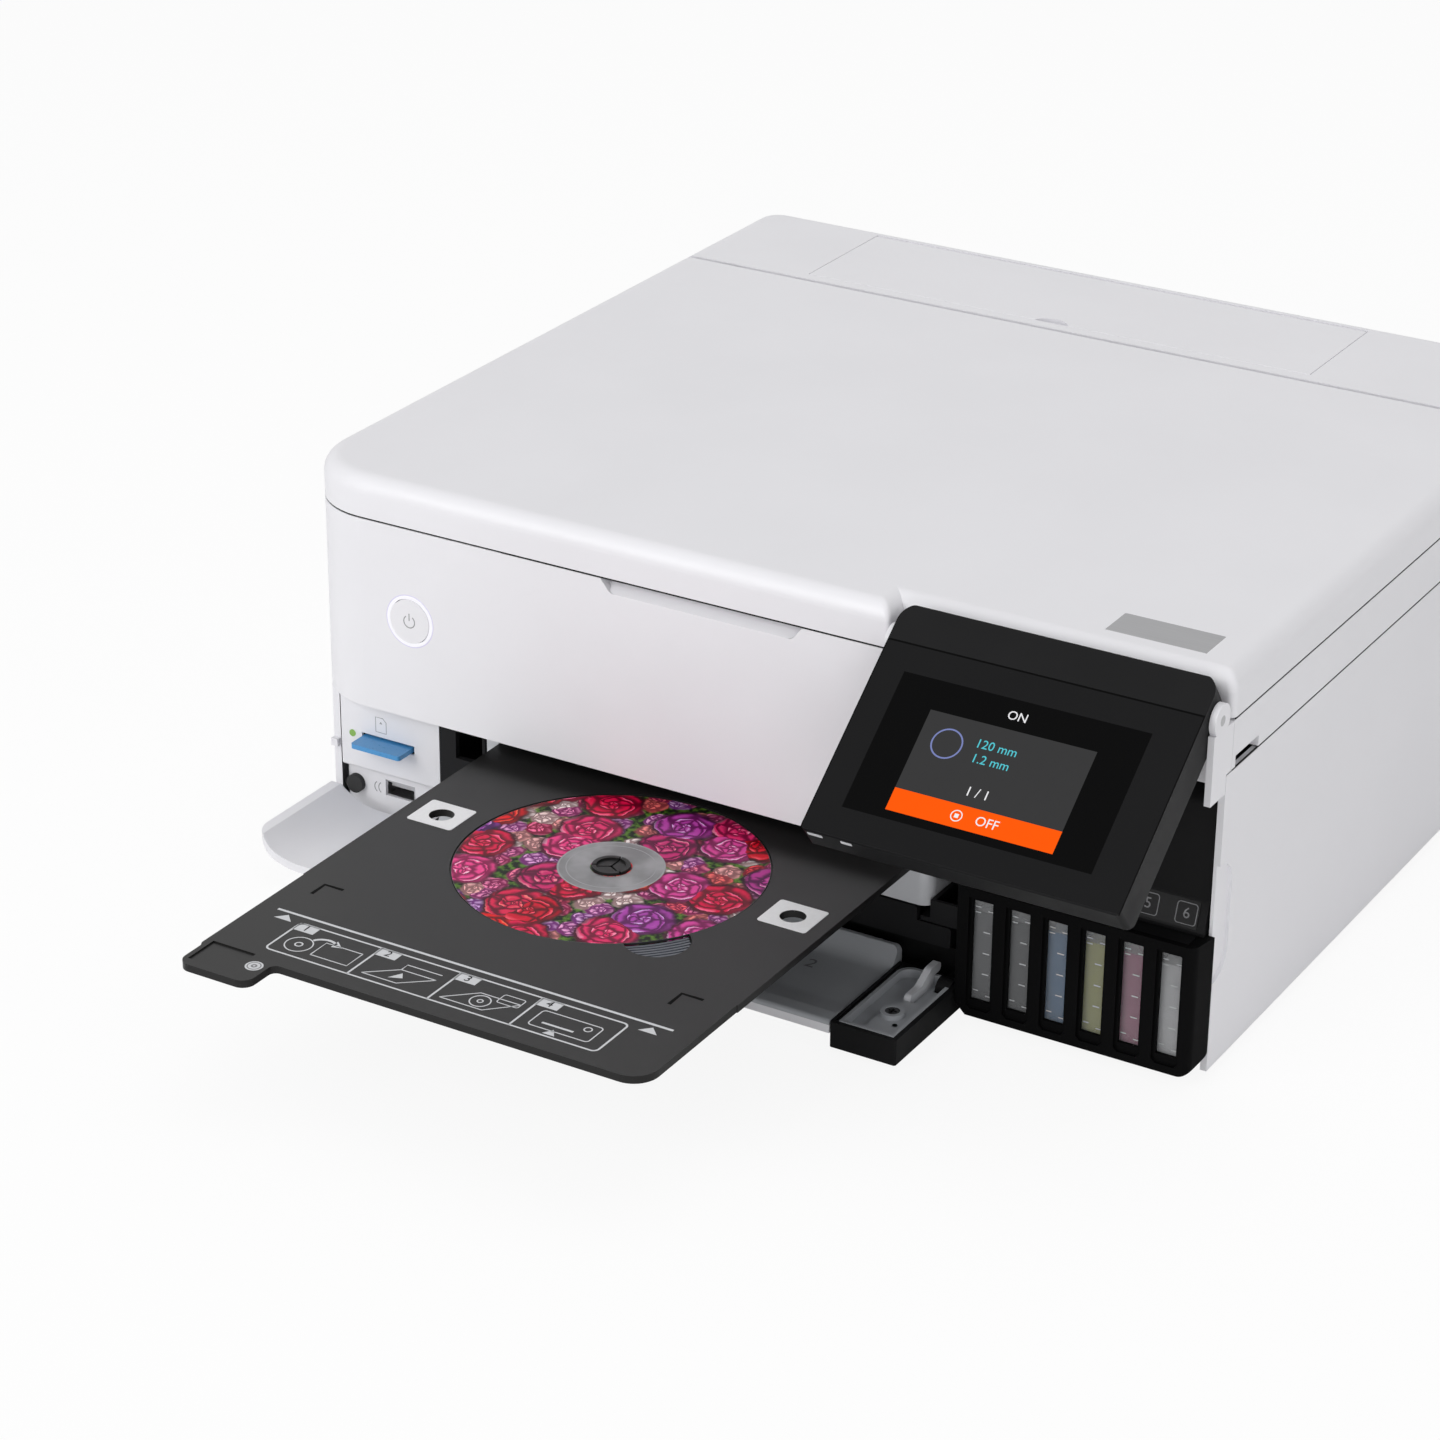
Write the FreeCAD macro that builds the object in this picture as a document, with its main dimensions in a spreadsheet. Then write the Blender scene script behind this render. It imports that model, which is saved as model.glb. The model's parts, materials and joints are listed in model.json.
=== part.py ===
# Disc label printer: a six-colour tank printer with a flat scanner, shown with its front cover
# down and a disc tray in the slot under the front panel.
#
# Axes: X to the right as one faces the printer, Y towards its back, Z up.
# Origin: the middle of the whole outline, on the surface that the feet stand on.
# Every size is in millimetres, or in degrees for an angle.

import FreeCAD, Part
import os
import Sketcher

# Name, value and meaning of every size that can be set by itself.
SIZES = [
    ("body_width", 403, "body, side to side"),
    ("body_depth", 375, "front face to back panel"),
    ("body_height", 162, "table to the top of the lid"),
    ("tray_reach", 197, "disc tray's thumb tab, out from the front face"),
    ("wall", 2.6, "moulded covers"),
    ("thin_wall", 1.6, "small mouldings"),
    ("seam", 0.8, "gap between covers"),
    ("slip", 0.3, "gap beside a sliding piece"),
    ("running_fit", 0.06, "play round a pin, all round"),
    ("corner_round", 33, "upright corner at the front left"),
    ("back_round", 12, "upright corners at the back"),
    ("lid_round", 7, "upper edge of the lid"),
    ("foot_height", 3, "rubber foot"),
    ("foot_width", 18, "square rubber foot"),
    ("foot_inset", 32, "foot centre from the body's sides"),
    ("base_top", 20.2, "top of the base moulding, floor of the paper bay"),
    ("unit_height", 19.4, "scanner unit"),
    ("lid_height", 16.8, "lid"),
    ("lid_back", 294.6, "back edge of the lid, from the front face"),
    ("tower_front", 297, "front of the rear paper tower, from the front face"),
    ("fascia_bottom", 62.7, "lower edge of the white front panel"),
    ("deck_level", 62.7, "underside of the inner deck"),
    ("deck_thickness", 2.6, "inner deck"),
    ("bay_front", 12, "front of the paper bay's side walls, from the front face"),
    ("bay_inset", 60.2, "paper bay, from the body's left side"),
    ("bay_gap", 0.2, "between the paper bay and the ink tank unit"),
    ("base_front", 14.5, "front of the base moulding, from the front face"),
    ("bay_back", 340, "back of the paper bay, from the front face"),
    ("bay_window_reach", 14.5, "sensor window in the bay, from the guide"),
    ("bay_window_low", 43.4, "sensor window in the bay"),
    ("bay_window_high", 56.6, "sensor window in the bay"),
    ("latch_depth", 22, "pocket for the stop of the front cover"),
    ("latch_low", 30.2, "pocket for the stop of the front cover"),
    ("latch_high", 39.6, "pocket for the stop of the front cover"),
    ("latch_ledge", 4, "ledge beside that pocket"),
    ("latch_ledge_depth", 12, "ledge beside that pocket"),
    ("latch_ledge_height", 1.8, "ledge beside that pocket"),
    ("paper_shift", 1.25, "middle of the paper path, right of the bay's middle"),
    # disc tray
    ("tray_width", 188, "disc tray"),
    ("tray_front", -181, "front edge of the tray, from the front face"),
    ("tray_back", 104, "hidden end of the tray, from the front face"),
    ("tray_level", 52.2, "underside of the tray"),
    ("tray_thickness", 3, "disc tray"),
    ("tray_step", 0.4, "how much wider the tray is behind its stop line, each side"),
    ("tray_stop", -119, "stop line of the tray, from the front face"),
    ("tray_corner", 10, "tray's front corner"),
    ("tray_tail", 4, "tray's hidden corners"),
    ("tray_nick", 0.9, "tray's front left corner, beside the tab"),
    ("tab_width", 31, "thumb tab"),
    ("tab_length", 16, "thumb tab"),
    ("tab_round", 5, "thumb tab's corners"),
    ("tab_dish_width", 19, "shallow recess in the thumb tab"),
    ("tab_dish_length", 15, "shallow recess in the thumb tab"),
    ("tab_dish_depth", 0.6, "shallow recess in the thumb tab"),
    ("disc_y", -53.3, "middle of the disc, from the front face"),
    ("disc_radius", 60, "standard disc"),
    ("disc_hole", 7.5, "centre hole of a standard disc"),
    ("disc_thickness", 1.2, "standard disc"),
    ("pocket_play", 0.6, "pocket edge outside the disc"),
    ("pocket_depth", 1.5, "pocket for the disc"),
    ("notch_radius", 12.5, "finger notch at the pocket's edge"),
    ("notch_shift", 2.5, "finger notch, to the right and back from the pocket's edge"),
    ("hub_radius", 7.3, "disc hub"),
    ("hub_height", 2.2, "disc hub above the pocket's floor"),
    ("hub_dish", 0.8, "hollow in the top of the hub"),
    ("hub_slit", 0.7, "slits between the springs of the hub"),
    ("sensor_x", 78, "sensor holes either side of the disc's middle"),
    ("sensor_y", 1.3, "sensor holes in front of the disc's middle"),
    ("sensor_radius", 5, "sensor hole"),
    ("label_side", 20.5, "square label round a sensor hole"),
    ("label_depth", 18.5, "square label round a sensor hole, front to back"),
    ("label_round", 1.2, "white label's corners"),
    ("label_thickness", 0.2, "printed label"),
    # disc guide
    ("guide_margin", 7, "white guide beyond the disc tray, each side"),
    ("guide_bottom", 36, "guide's lower edge"),
    ("guide_depth", 26, "guide, front to back"),
    ("guide_round", 5, "guide's upright corners"),
    ("guide_edge", 1.5, "left corners of the white guide"),
    ("guide_rest", 8, "where the guide carries the tray, each side"),
    ("guide_slot", 8.2, "height of the tray's slot"),
    # paper cassette
    ("cassette_inset", 13.3, "paper cassette, from the bay's left wall"),
    ("cassette_play", 10.8, "paper cassette to the bay's right wall"),
    ("cassette_height", 14.2, "paper cassette"),
    ("cassette_step", 14.6, "dropped side of the cassette"),
    ("cassette_low", 8.6, "height of the dropped side"),
    ("cassette_back", 318, "cassette's back edge, from the front face"),
    ("cassette_round", 1.5, "lower corners of the cassette"),
    ("cassette_setback", 0.6, "cassette, behind the front of the bay"),
    # connector panel
    ("panel_face", 12, "connector panel, from the front face"),
    ("panel_inset", 11.3, "connector panel, from the left side"),
    ("ledge_level", 26.8, "step above the lower row"),
    ("ledge_round", 1.2, "edge of that ledge"),
    ("ledge_fall", 1.5, "fall of that ledge towards the back"),
    ("ledge_depth", 4, "lower row set back"),
    ("card_inset", 34.5, "middle of the card slot, from the left side"),
    ("card_z", 41.2, "middle of the card slot"),
    ("card_width", 24, "standard memory card"),
    ("slot_rim", 1.4, "card slot, round the card and its play"),
    ("slot_room", 1.9, "card slot, higher than the card"),
    ("reader_setback", 1.2, "card reader, behind the panel"),
    ("card_round", 1.2, "outer corners of the card"),
    ("card_bevel", 4, "cut corner of the card"),
    ("card_length", 32, "standard memory card"),
    ("card_thickness", 2.1, "standard memory card"),
    ("card_out", 9.5, "how far the card stands out of its slot"),
    ("port_inset", 37.1, "middle of the memory stick port, from the left side"),
    ("port_z", 18.6, "middle of the memory stick port"),
    ("port_width", 13.1, "opening of the port"),
    ("port_setback", 0.4, "port's shell, behind the panel"),
    ("port_tongue", 1.6, "tongue in the port"),
    ("port_height", 5.7, "opening of the port"),
    ("port_depth", 16, "port"),
    ("lamp_inset", 16.9, "status lamp, from the left side"),
    ("lamp_z", 41.8, "status lamp"),
    ("lamp_radius", 1.5, "status lamp"),
    ("buffer_inset", 15.5, "rubber buffer, from the left side"),
    ("buffer_z", 17.4, "rubber buffer"),
    ("buffer_radius", 4, "rubber buffer"),
    ("buffer_height", 2.4, "rubber buffer"),
    # front cover
    ("cover_axis_y", 1.6, "front cover's hinge, from the front face"),
    ("cover_axis_z", 10.1, "front cover's hinge"),
    ("cover_under", 8.5, "underside of the white part, cover down"),
    ("cover_front", -48.4, "outer edge of the cover, cover down"),
    ("cover_back", 7.6, "inner edge of the cover, cover down"),
    ("cover_skin", 3.4, "outer skin of the cover"),
    ("cover_top", 13.8, "top of the lining, cover down"),
    ("cover_wrap", 11, "how far the left end curls up"),
    ("curl_inset", 8.4, "tip of the curled end, from the left side"),
    ("cover_round", 13, "outer left corner of the front cover"),
    ("cover_pin", 1.1, "front cover's hinge pins"),
    ("knuckle_inset", 60.5, "left hinge knuckle of the front cover, from the left side"),
    ("knuckle_width", 7, "left hinge knuckle of the front cover"),
    ("knuckle_radius", 2.6, "left hinge knuckle of the front cover"),
    ("cover_pin_reach", 5.5, "pin beyond that knuckle, each side"),
    ("knuckle_round", 2.4, "left hinge knuckle, rounded"),
    ("barrel_inset", 5.3, "right hinge barrel, from the end of the front cover"),
    ("barrel_width", 6, "right hinge barrel of the front cover"),
    ("barrel_radius", 4.6, "right hinge barrel of the front cover"),
    ("lining_inset", 51.5, "left end of the grey lining, from the left side"),
    ("lining_lip", 20, "upright back lip of the lining"),
    ("lining_rim", 6, "raised outer rim of the lining"),
    ("lining_slope", 16, "where the slope of the lining ends"),
    ("lining_dish", 1.2, "floor of the lining, below its rim"),
    ("lining_heel", 8, "foot of the upright lip"),
    ("lining_edge", 2.2, "top of the upright lip"),
    ("end_width", 27.9, "black end of the cover"),
    ("end_gap", 0.7, "between the black end and the ink tank unit"),
    ("end_under", 3.2, "underside of the black end, cover down"),
    ("end_back", 5.4, "inner edge of the black end"),
    ("end_recess", 3.4, "recess in the black end"),
    ("end_proud", 0.4, "black end in front of the cover's edge"),
    ("end_wall", 2, "walls round the black end's recess"),
    ("end_floor", 1.2, "floor of the tray in the black end"),
    ("end_tray_wall", 1.4, "walls of the tray in the black end"),
    ("groove_inset", 1.7, "groove in the black end's rim"),
    ("groove_width", 0.7, "groove in the black end's rim"),
    ("groove_depth", 0.8, "groove in the black end's rim"),
    ("raised_inset", 11.6, "raised plate in the black end, from its left side"),
    ("raised_back", 30.8, "raised plate in the black end, from its outer edge"),
    ("raised_bevel", 4.4, "raised plate's cut corner"),
    ("raised_bevel_back", 5.8, "raised plate's cut corner"),
    ("raised_drop", 1.4, "raised plate, below the cover"),
    ("boss_x", 16.4, "screw boss, from the black end's left side"),
    ("boss_y", 18.6, "screw boss, from the black end's outer edge"),
    ("boss_height", 2.6, "screw boss"),
    ("plate_hole_x", 4.6, "small hole beside the screw boss"),
    ("plate_hole_y", 6.6, "small hole beside the screw boss"),
    ("boss_radius", 4.6, "screw boss"),
    ("screw_radius", 2.9, "screw head"),
    ("screw_sink", 0.9, "screw's seat, below the cover"),
    ("screw_height", 1.3, "screw head"),
    ("cross_length", 3.6, "cross in the screw head"),
    ("cross_width", 0.8, "cross in the screw head"),
    ("arm_inset", 13.6, "damper arm, from the black end's right side"),
    ("arm_width", 2.8, "damper arm"),
    ("arm_lift", 0.4, "damper arm, above the cover"),
    ("arm_shoulder", 9, "where the damper arm starts to rise, out from the front face"),
    ("arm_rise", 4.6, "top of the damper arm's hook, above the cover"),
    ("arm_reach", 6.5, "end of the damper arm's hook, behind the front face"),
    ("arm_round", 1.6, "end of the damper arm's hook"),
    ("pin_radius", 2, "hinge pins"),
    # ink tanks
    ("tank_width", 98.5, "ink tank unit"),
    ("tank_front", -5, "ink tank unit's face, from the front face"),
    ("tank_under", 5.6, "underside of the ink tank unit"),
    ("tank_top", 59.4, "top edge of the lower housing"),
    ("tank_back", 92, "back of the ink tank unit, from the front face"),
    ("tank_return", 7.6, "where the black side meets the white cover"),
    ("tank_lean", 2.3, "front of the ink tank unit's side, in from the right cover"),
    ("tank_flush", 0.1, "back of that side, in from the right cover"),
    ("tank_edge", 4, "front right edge of the ink tank unit"),
    ("tank_chamfer", 5, "lower left corner of the ink tank unit"),
    ("tank_round", 7, "lower right corner of the ink tank unit"),
    ("opener_low", 40, "finger recess in the right cover"),
    ("opener_high", 88, "finger recess in the right cover"),
    ("opener_width", 12, "finger recess in the right cover"),
    ("nub_inset", 8.5, "latch nub on the left cover, from the side"),
    ("nub_height", 36, "latch nub on the left cover"),
    ("nub_size", 3.2, "latch nub on the left cover"),
    ("well_rim", 1.2, "recess round each window"),
    ("well_lip", 3.6, "recess below each window"),
    ("well_chamfer", 1.6, "lower corners of that recess"),
    ("window_first", 6.3, "first window, from the unit's left side"),
    ("window_pitch", 15.3, "window spacing"),
    ("window_width", 8.3, "window"),
    ("window_low", 12.3, "window's lower edge"),
    ("window_high", 54.4, "window's upper edge"),
    ("bottle_width", 11.6, "ink tank"),
    ("ink_level", 48.6, "surface of the ink"),
    ("bottle_wall", 1.1, "ink tank's wall"),
    ("bottle_drop", 2, "top of an ink tank, below its housing's edge"),
    ("neck_setback", 20, "filler neck, behind the face of the ink tank cover"),
    ("neck_width", 7, "filler neck"),
    ("neck_height", 9, "filler neck, above the housing's edge"),
    ("cap_width", 10, "filler cap"),
    ("cap_length", 16, "filler cap, front to back"),
    ("cap_height", 9, "filler cap"),
    ("hood_face", 9.2, "face of the ink tank cover, from the front face"),
    ("hood_gap", 7, "between the ink tank cover and the scanner unit"),
    ("hood_inset", 0.6, "ink tank cover, in from the housing on the right"),
    ("hood_round", 8, "upper front edge of the ink tank cover"),
    ("hood_heel", 4, "upper back edge of the ink tank cover"),
    ("strip_low", 61.4, "label strip"),
    ("strip_high", 71.2, "label strip"),
    ("strip_slope", 4, "how far the strip leans back"),
    ("strip_inset", 0.5, "strip let into the cover"),
    ("strip_left", 4, "strip, from the left of the ink tank cover"),
    ("strip_right", 3, "strip, from the right of the ink tank cover"),
    ("strip_play", 0.2, "strip in its seat, each side"),
    # control panel
    ("screen_width", 126.1, "control panel"),
    ("screen_inset", 2.8, "control panel, from the body's right side"),
    ("screen_length", 80, "glass of the control panel"),
    ("screen_band", 16.5, "black band above the glass"),
    ("screen_body", 16, "control panel, front to back"),
    ("screen_axis_y", 1.43, "control panel's pivot, from the front face"),
    ("screen_axis_drop", 13.45, "control panel's pivot, below the top of the lid"),
    ("screen_proud", 9.43, "glass in front of the pivot"),
    ("screen_drop", 4.55, "top of the glass below the pivot"),
    ("screen_tilt", 51.5, "control panel tilted out from upright"),
    ("screen_rim", 0.6, "edge of the panel round its glass"),
    ("screen_play", 0.6, "white front panel, left of the control panel"),
    ("panel_pin", 9, "panel's pivot pins"),
    ("screen_round", 8, "panel's upper corners"),
    ("screen_chin", 1.2, "lower front edge of the panel"),
    ("screen_slope", 5.9, "fall of the panel's top towards the back"),
    ("screen_shoulder", 8.4, "upper back edge of the panel, below its top"),
    ("screen_bevel", 4, "lower back edge of the panel"),
    ("glass_thickness", 1.4, "cover glass of the panel"),
    ("ear_radius", 6.4, "ears that carry the panel"),
    # scanner unit and lid
    ("button_inset", 55.8, "power button, from the left side"),
    ("button_height", 42.6, "power button, above the front panel's lower edge"),
    ("button_radius", 9.2, "power button"),
    ("button_flange", 2, "flange that keeps the button in"),
    ("button_proud", 0.5, "power button in front of the panel"),
    ("sleeve_depth", 11, "sleeve behind the power button"),
    ("ring_radius", 10.8, "light ring round the button"),
    ("ring_proud", 0.2, "light ring in front of the panel"),
    ("ring_depth", 0.8, "light ring, front to back"),
    ("flange_thickness", 1.4, "power button's flange"),
    ("grip_left", -52, "finger recess in the front panel"),
    ("grip_right", 28, "finger recess in the front panel"),
    ("grip_depth", 9, "finger recess in the front panel"),
    ("grip_height", 5.4, "finger recess in the front panel"),
    ("grip_slant", 5, "slanting ends of that recess"),
    ("side_grip_front", 15, "finger recess in the unit's side, from the front face"),
    ("side_grip_depth", 9, "finger recess in the unit's side"),
    ("side_grip_length", 20, "finger recess in the unit's side"),
    ("side_grip_height", 4.4, "finger recess in the unit's side"),
    ("bed_inset", 31.5, "scanner glass, from the left side"),
    ("bed_width", 300, "scanner glass"),
    ("bed_front", 38, "scanner glass, from the front face"),
    ("bed_depth", 220, "scanner glass"),
    ("scan_rod", 2.2, "rod that the scan bar slides on"),
    ("bed_glass", 2, "scanner glass"),
    ("scan_bar_width", 22, "moving scan bar"),
    ("scan_bar_height", 9, "moving scan bar"),
    ("scan_bar_park", 14, "scan bar's rest, from the left edge of the glass"),
    ("scan_bar_inset", 5, "scan bar, inside the glass at each end"),
    ("scan_saddle", 24, "saddle of the scan bar on its rod"),
    ("badge_inset", 37.1, "middle of the bare plate on the lid, from the right side"),
    ("badge_y", 31.5, "bare plate on the lid, from the front face"),
    ("badge_width", 40, "bare plate on the lid"),
    ("badge_depth_in", 0.8, "bare plate let into the lid"),
    ("lid_skin", 2.2, "top of the lid"),
    ("pad_margin", 8, "backing plate, beyond the scanner glass"),
    ("lid_notch_round", 1.5, "lid beside the control panel"),
    ("badge_depth", 17, "bare plate on the lid"),
    ("notch_back", 11, "front of the lid behind the control panel"),
    ("hinge_y", 291.5, "shared hinge of lid and scanner unit, from the front face"),
    ("hinge_drop", 4, "shared hinge, below the top of the lid"),
    ("hinge_pin", 1.6, "hinge pins"),
    ("hinge_eye", 2.6, "eyes round the hinge pins"),
    ("ear_x", 177.5, "tower's ears, from the middle"),
    ("ear_width", 4.5, "tower's ears"),
    ("bracket_width", 4, "hinge brackets of the unit"),
    ("lug_width", 4, "hinge lugs of the lid"),
    # print mechanism
    ("carriage_width", 112, "print head carriage"),
    ("carriage_front", 118, "carriage, from the front face"),
    ("carriage_depth", 62, "carriage"),
    ("carriage_bottom", 66, "carriage"),
    ("carriage_top", 104, "carriage"),
    ("head_bottom", 59.6, "print head's face"),
    ("head_margin", 9, "print head inside the carriage, front and back"),
    ("head_width", 78.4, "print head"),
    ("carriage_nose", 9, "upper front edge of the carriage"),
    ("carriage_heel", 14, "carriage's bearing, behind its body"),
    ("bearing_half", 8, "carriage's bearing, above and below the rail"),
    ("carriage_floor", 15.6, "floor inside the carriage"),
    ("rail_y", 186, "carriage rail, from the front face"),
    ("rail_z", 92, "carriage rail"),
    ("rail_radius", 4.5, "carriage rail"),
    ("mount_width", 8, "mounts of the carriage rail"),
    ("mount_depth", 22, "mounts of the carriage rail"),
    ("well_front", 112, "opening in the deck below the carriage"),
    ("well_depth", 74, "opening in the deck below the carriage"),
    ("well_margin", 14, "that opening, from the side covers"),
    ("roller_z", 45, "feed roller"),
    ("roller_pin", 2.5, "feed roller's shaft"),
    ("roller_radius", 6, "feed roller"),
    ("platen_front", 6, "platen, behind the deck opening's front edge"),
    ("platen_back", 18, "platen, in front of the deck opening's back edge"),
    ("rib_height", 2.4, "ribs of the platen"),
    # rear
    ("feed_width", 230, "rear paper slot"),
    ("feed_front", 309, "rear paper slot, from the front face"),
    ("chute_gap", 9, "gap in front of the chute, for the paper"),
    ("post_width", 14, "posts that carry the tower"),
    ("feed_depth", 52, "rear paper slot"),
    ("flap_thickness", 3.4, "cover of the rear paper slot"),
    ("flap_margin", 6, "cover of the rear paper slot, beyond the slot"),
    ("flap_edge", 0.8, "front edge of that cover, rounded"),
    ("flap_grip", 9, "finger recess at that cover, radius"),
    ("flap_grip_out", 4, "middle of that recess, in front of the cover"),
    ("chute_edge", 4, "top of the chute, front to back"),
    ("chute_round", 1.5, "top edge of the chute"),
    ("chute_foot", 6, "foot of the chute, in front of its slope"),
    ("chute_clear", 2, "chute below the cover of the slot"),
    ("flap_pin", 0.9, "pins of that cover"),
    ("flap_pin_length", 3, "pins of that cover"),
    ("inlet_inset", 51.5, "mains inlet, from the right side"),
    ("inlet_z", 40, "mains inlet"),
    ("jack_x", 40, "network socket"),
    ("jack_pitch", 26, "between the network and computer sockets"),
    ("jack_z", 34, "network and computer sockets"),
    ("socket_depth", 22, "sockets, behind the back panel"),
    ("inlet_width", 23, "mains inlet"),
    ("inlet_height", 14, "mains inlet"),
    ("inlet_tongue", 9, "mains inlet, the part with its pins"),
    ("inlet_tongue_height", 4, "mains inlet, the part with its pins"),
    ("jack_width", 17, "network socket"),
    ("jack_height", 14, "network socket"),
    ("jack_tongue", 11, "network socket, the part with its contacts"),
    ("jack_tongue_height", 2, "network socket, the part with its contacts"),
    ("jack_tongue_drop", 3.4, "network socket, its contacts below its middle"),
    ("host_width", 13, "computer socket"),
    ("host_height", 12, "computer socket"),
    ("host_tongue", 6, "computer socket, the part with its contacts"),
    ("host_tongue_height", 4, "computer socket, the part with its contacts"),
]

TURN = 90
THIRD_TURN = 120
RIBS = 12
TANKS = 6

doc = FreeCAD.newDocument("disc_label_printer")
sheet = doc.addObject("Spreadsheet::Sheet", "sizes")


class Size:
    """A number together with the expression on the sheet that gives it."""

    def __init__(self, value, text):
        self.value = float(value)
        self.text = text

    def __add__(self, other):
        other = as_size(other)
        return Size(self.value + other.value, f"({self.text} + {other.text})")

    def __sub__(self, other):
        other = as_size(other)
        return Size(self.value - other.value, f"({self.text} - {other.text})")

    def __mul__(self, other):
        other = as_size(other)
        return Size(self.value * other.value, f"({self.text} * {other.text})")

    def __truediv__(self, other):
        other = as_size(other)
        return Size(self.value / other.value, f"({self.text} / {other.text})")

    def __neg__(self):
        return Size(-self.value, f"(0 - {self.text})")

    def __radd__(self, other):
        return as_size(other) + self

    def __rsub__(self, other):
        return as_size(other) - self

    def __rmul__(self, other):
        return as_size(other) * self


def as_size(number):
    return number if isinstance(number, Size) else Size(number, repr(float(number)))


class Sheet:
    """The spreadsheet's cells as attributes."""


dim = Sheet()
for row, (alias, value, meaning) in enumerate(SIZES, start=1):
    sheet.set(f"A{row}", meaning)
    sheet.set(f"B{row}", str(value))
    sheet.setAlias(f"B{row}", alias)
    setattr(dim, alias, Size(value, f"sizes.{alias}"))
doc.recompute()

# Distances along Y are counted from the white front face.
front = (dim.tray_reach - dim.body_depth) / 2
half_width = dim.body_width / 2
nodes = []

# Places across the printer, worked out from its two sides.
body_left, body_right = -half_width, half_width
tank_left = body_right - dim.tank_width
screen_right = body_right - dim.screen_inset
screen_left = screen_right - dim.screen_width
badge_x = body_right - dim.badge_inset
inlet_x = body_right - dim.inlet_inset
end_right = tank_left - dim.end_gap
end_left = end_right - dim.end_width
barrel_middle = end_right - dim.barrel_inset
bay_right = tank_left - dim.bay_gap
bay_left = body_left + dim.bay_inset
panel_left = body_left + dim.panel_inset
card_x = body_left + dim.card_inset
port_x = body_left + dim.port_inset
lamp_x = body_left + dim.lamp_inset
buffer_x = body_left + dim.buffer_inset
button_x = body_left + dim.button_inset
knuckle_middle = body_left + dim.knuckle_inset
lining_left = body_left + dim.lining_inset
bed_left = body_left + dim.bed_inset
paper_middle = (bay_left + bay_right) / 2 + dim.paper_shift
cassette_left = bay_left + dim.cassette_inset
cassette_right = bay_right - dim.cassette_play
cassette_step = cassette_right - dim.cassette_step

# Heights of the upper parts, worked out down from the lid.
lid_bottom = dim.body_height - dim.lid_height
unit_top = lid_bottom - dim.seam
unit_bottom = unit_top - dim.unit_height
side_top = unit_bottom - dim.seam
hinge_z = dim.body_height - dim.hinge_drop
ear_low = lid_bottom + dim.seam
screen_axis_z = dim.body_height - dim.screen_axis_drop
grip_low = unit_top - dim.grip_height
hood_top = unit_bottom - dim.hood_gap
button_z = dim.fascia_bottom + dim.button_height


def bind(item, name, size):
    item.setExpression(name, as_size(size).text)


def put(item, x, y, z):
    for letter, size in zip("xyz", (x, y, z)):
        bind(item, f"Placement.Base.{letter}", size)


def block(name, x, y, z):
    """A box from three (low, high) pairs."""
    item = doc.addObject("Part::Box", name)
    for side, (low, high) in zip(("Length", "Width", "Height"), (x, y, z)):
        bind(item, side, high - low)
    put(item, x[0], y[0], z[0])
    return item


def rod(name, axis, radius, start, length, x=0, y=0, z=0):
    """A cylinder along axis X, Y or Z that begins at start."""
    item = doc.addObject("Part::Cylinder", name)
    turns = {
        "X": FreeCAD.Rotation(FreeCAD.Vector(0, 1, 0), TURN),
        "Y": FreeCAD.Rotation(FreeCAD.Vector(1, 0, 0), -TURN),
        "Z": FreeCAD.Rotation(),
    }
    item.Placement = FreeCAD.Placement(FreeCAD.Vector(), turns[axis])
    bind(item, "Radius", radius)
    bind(item, "Height", length)
    place = {"X": (start, y, z), "Y": (x, start, z), "Z": (x, y, start)}[axis]
    put(item, *place)
    return item


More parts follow.
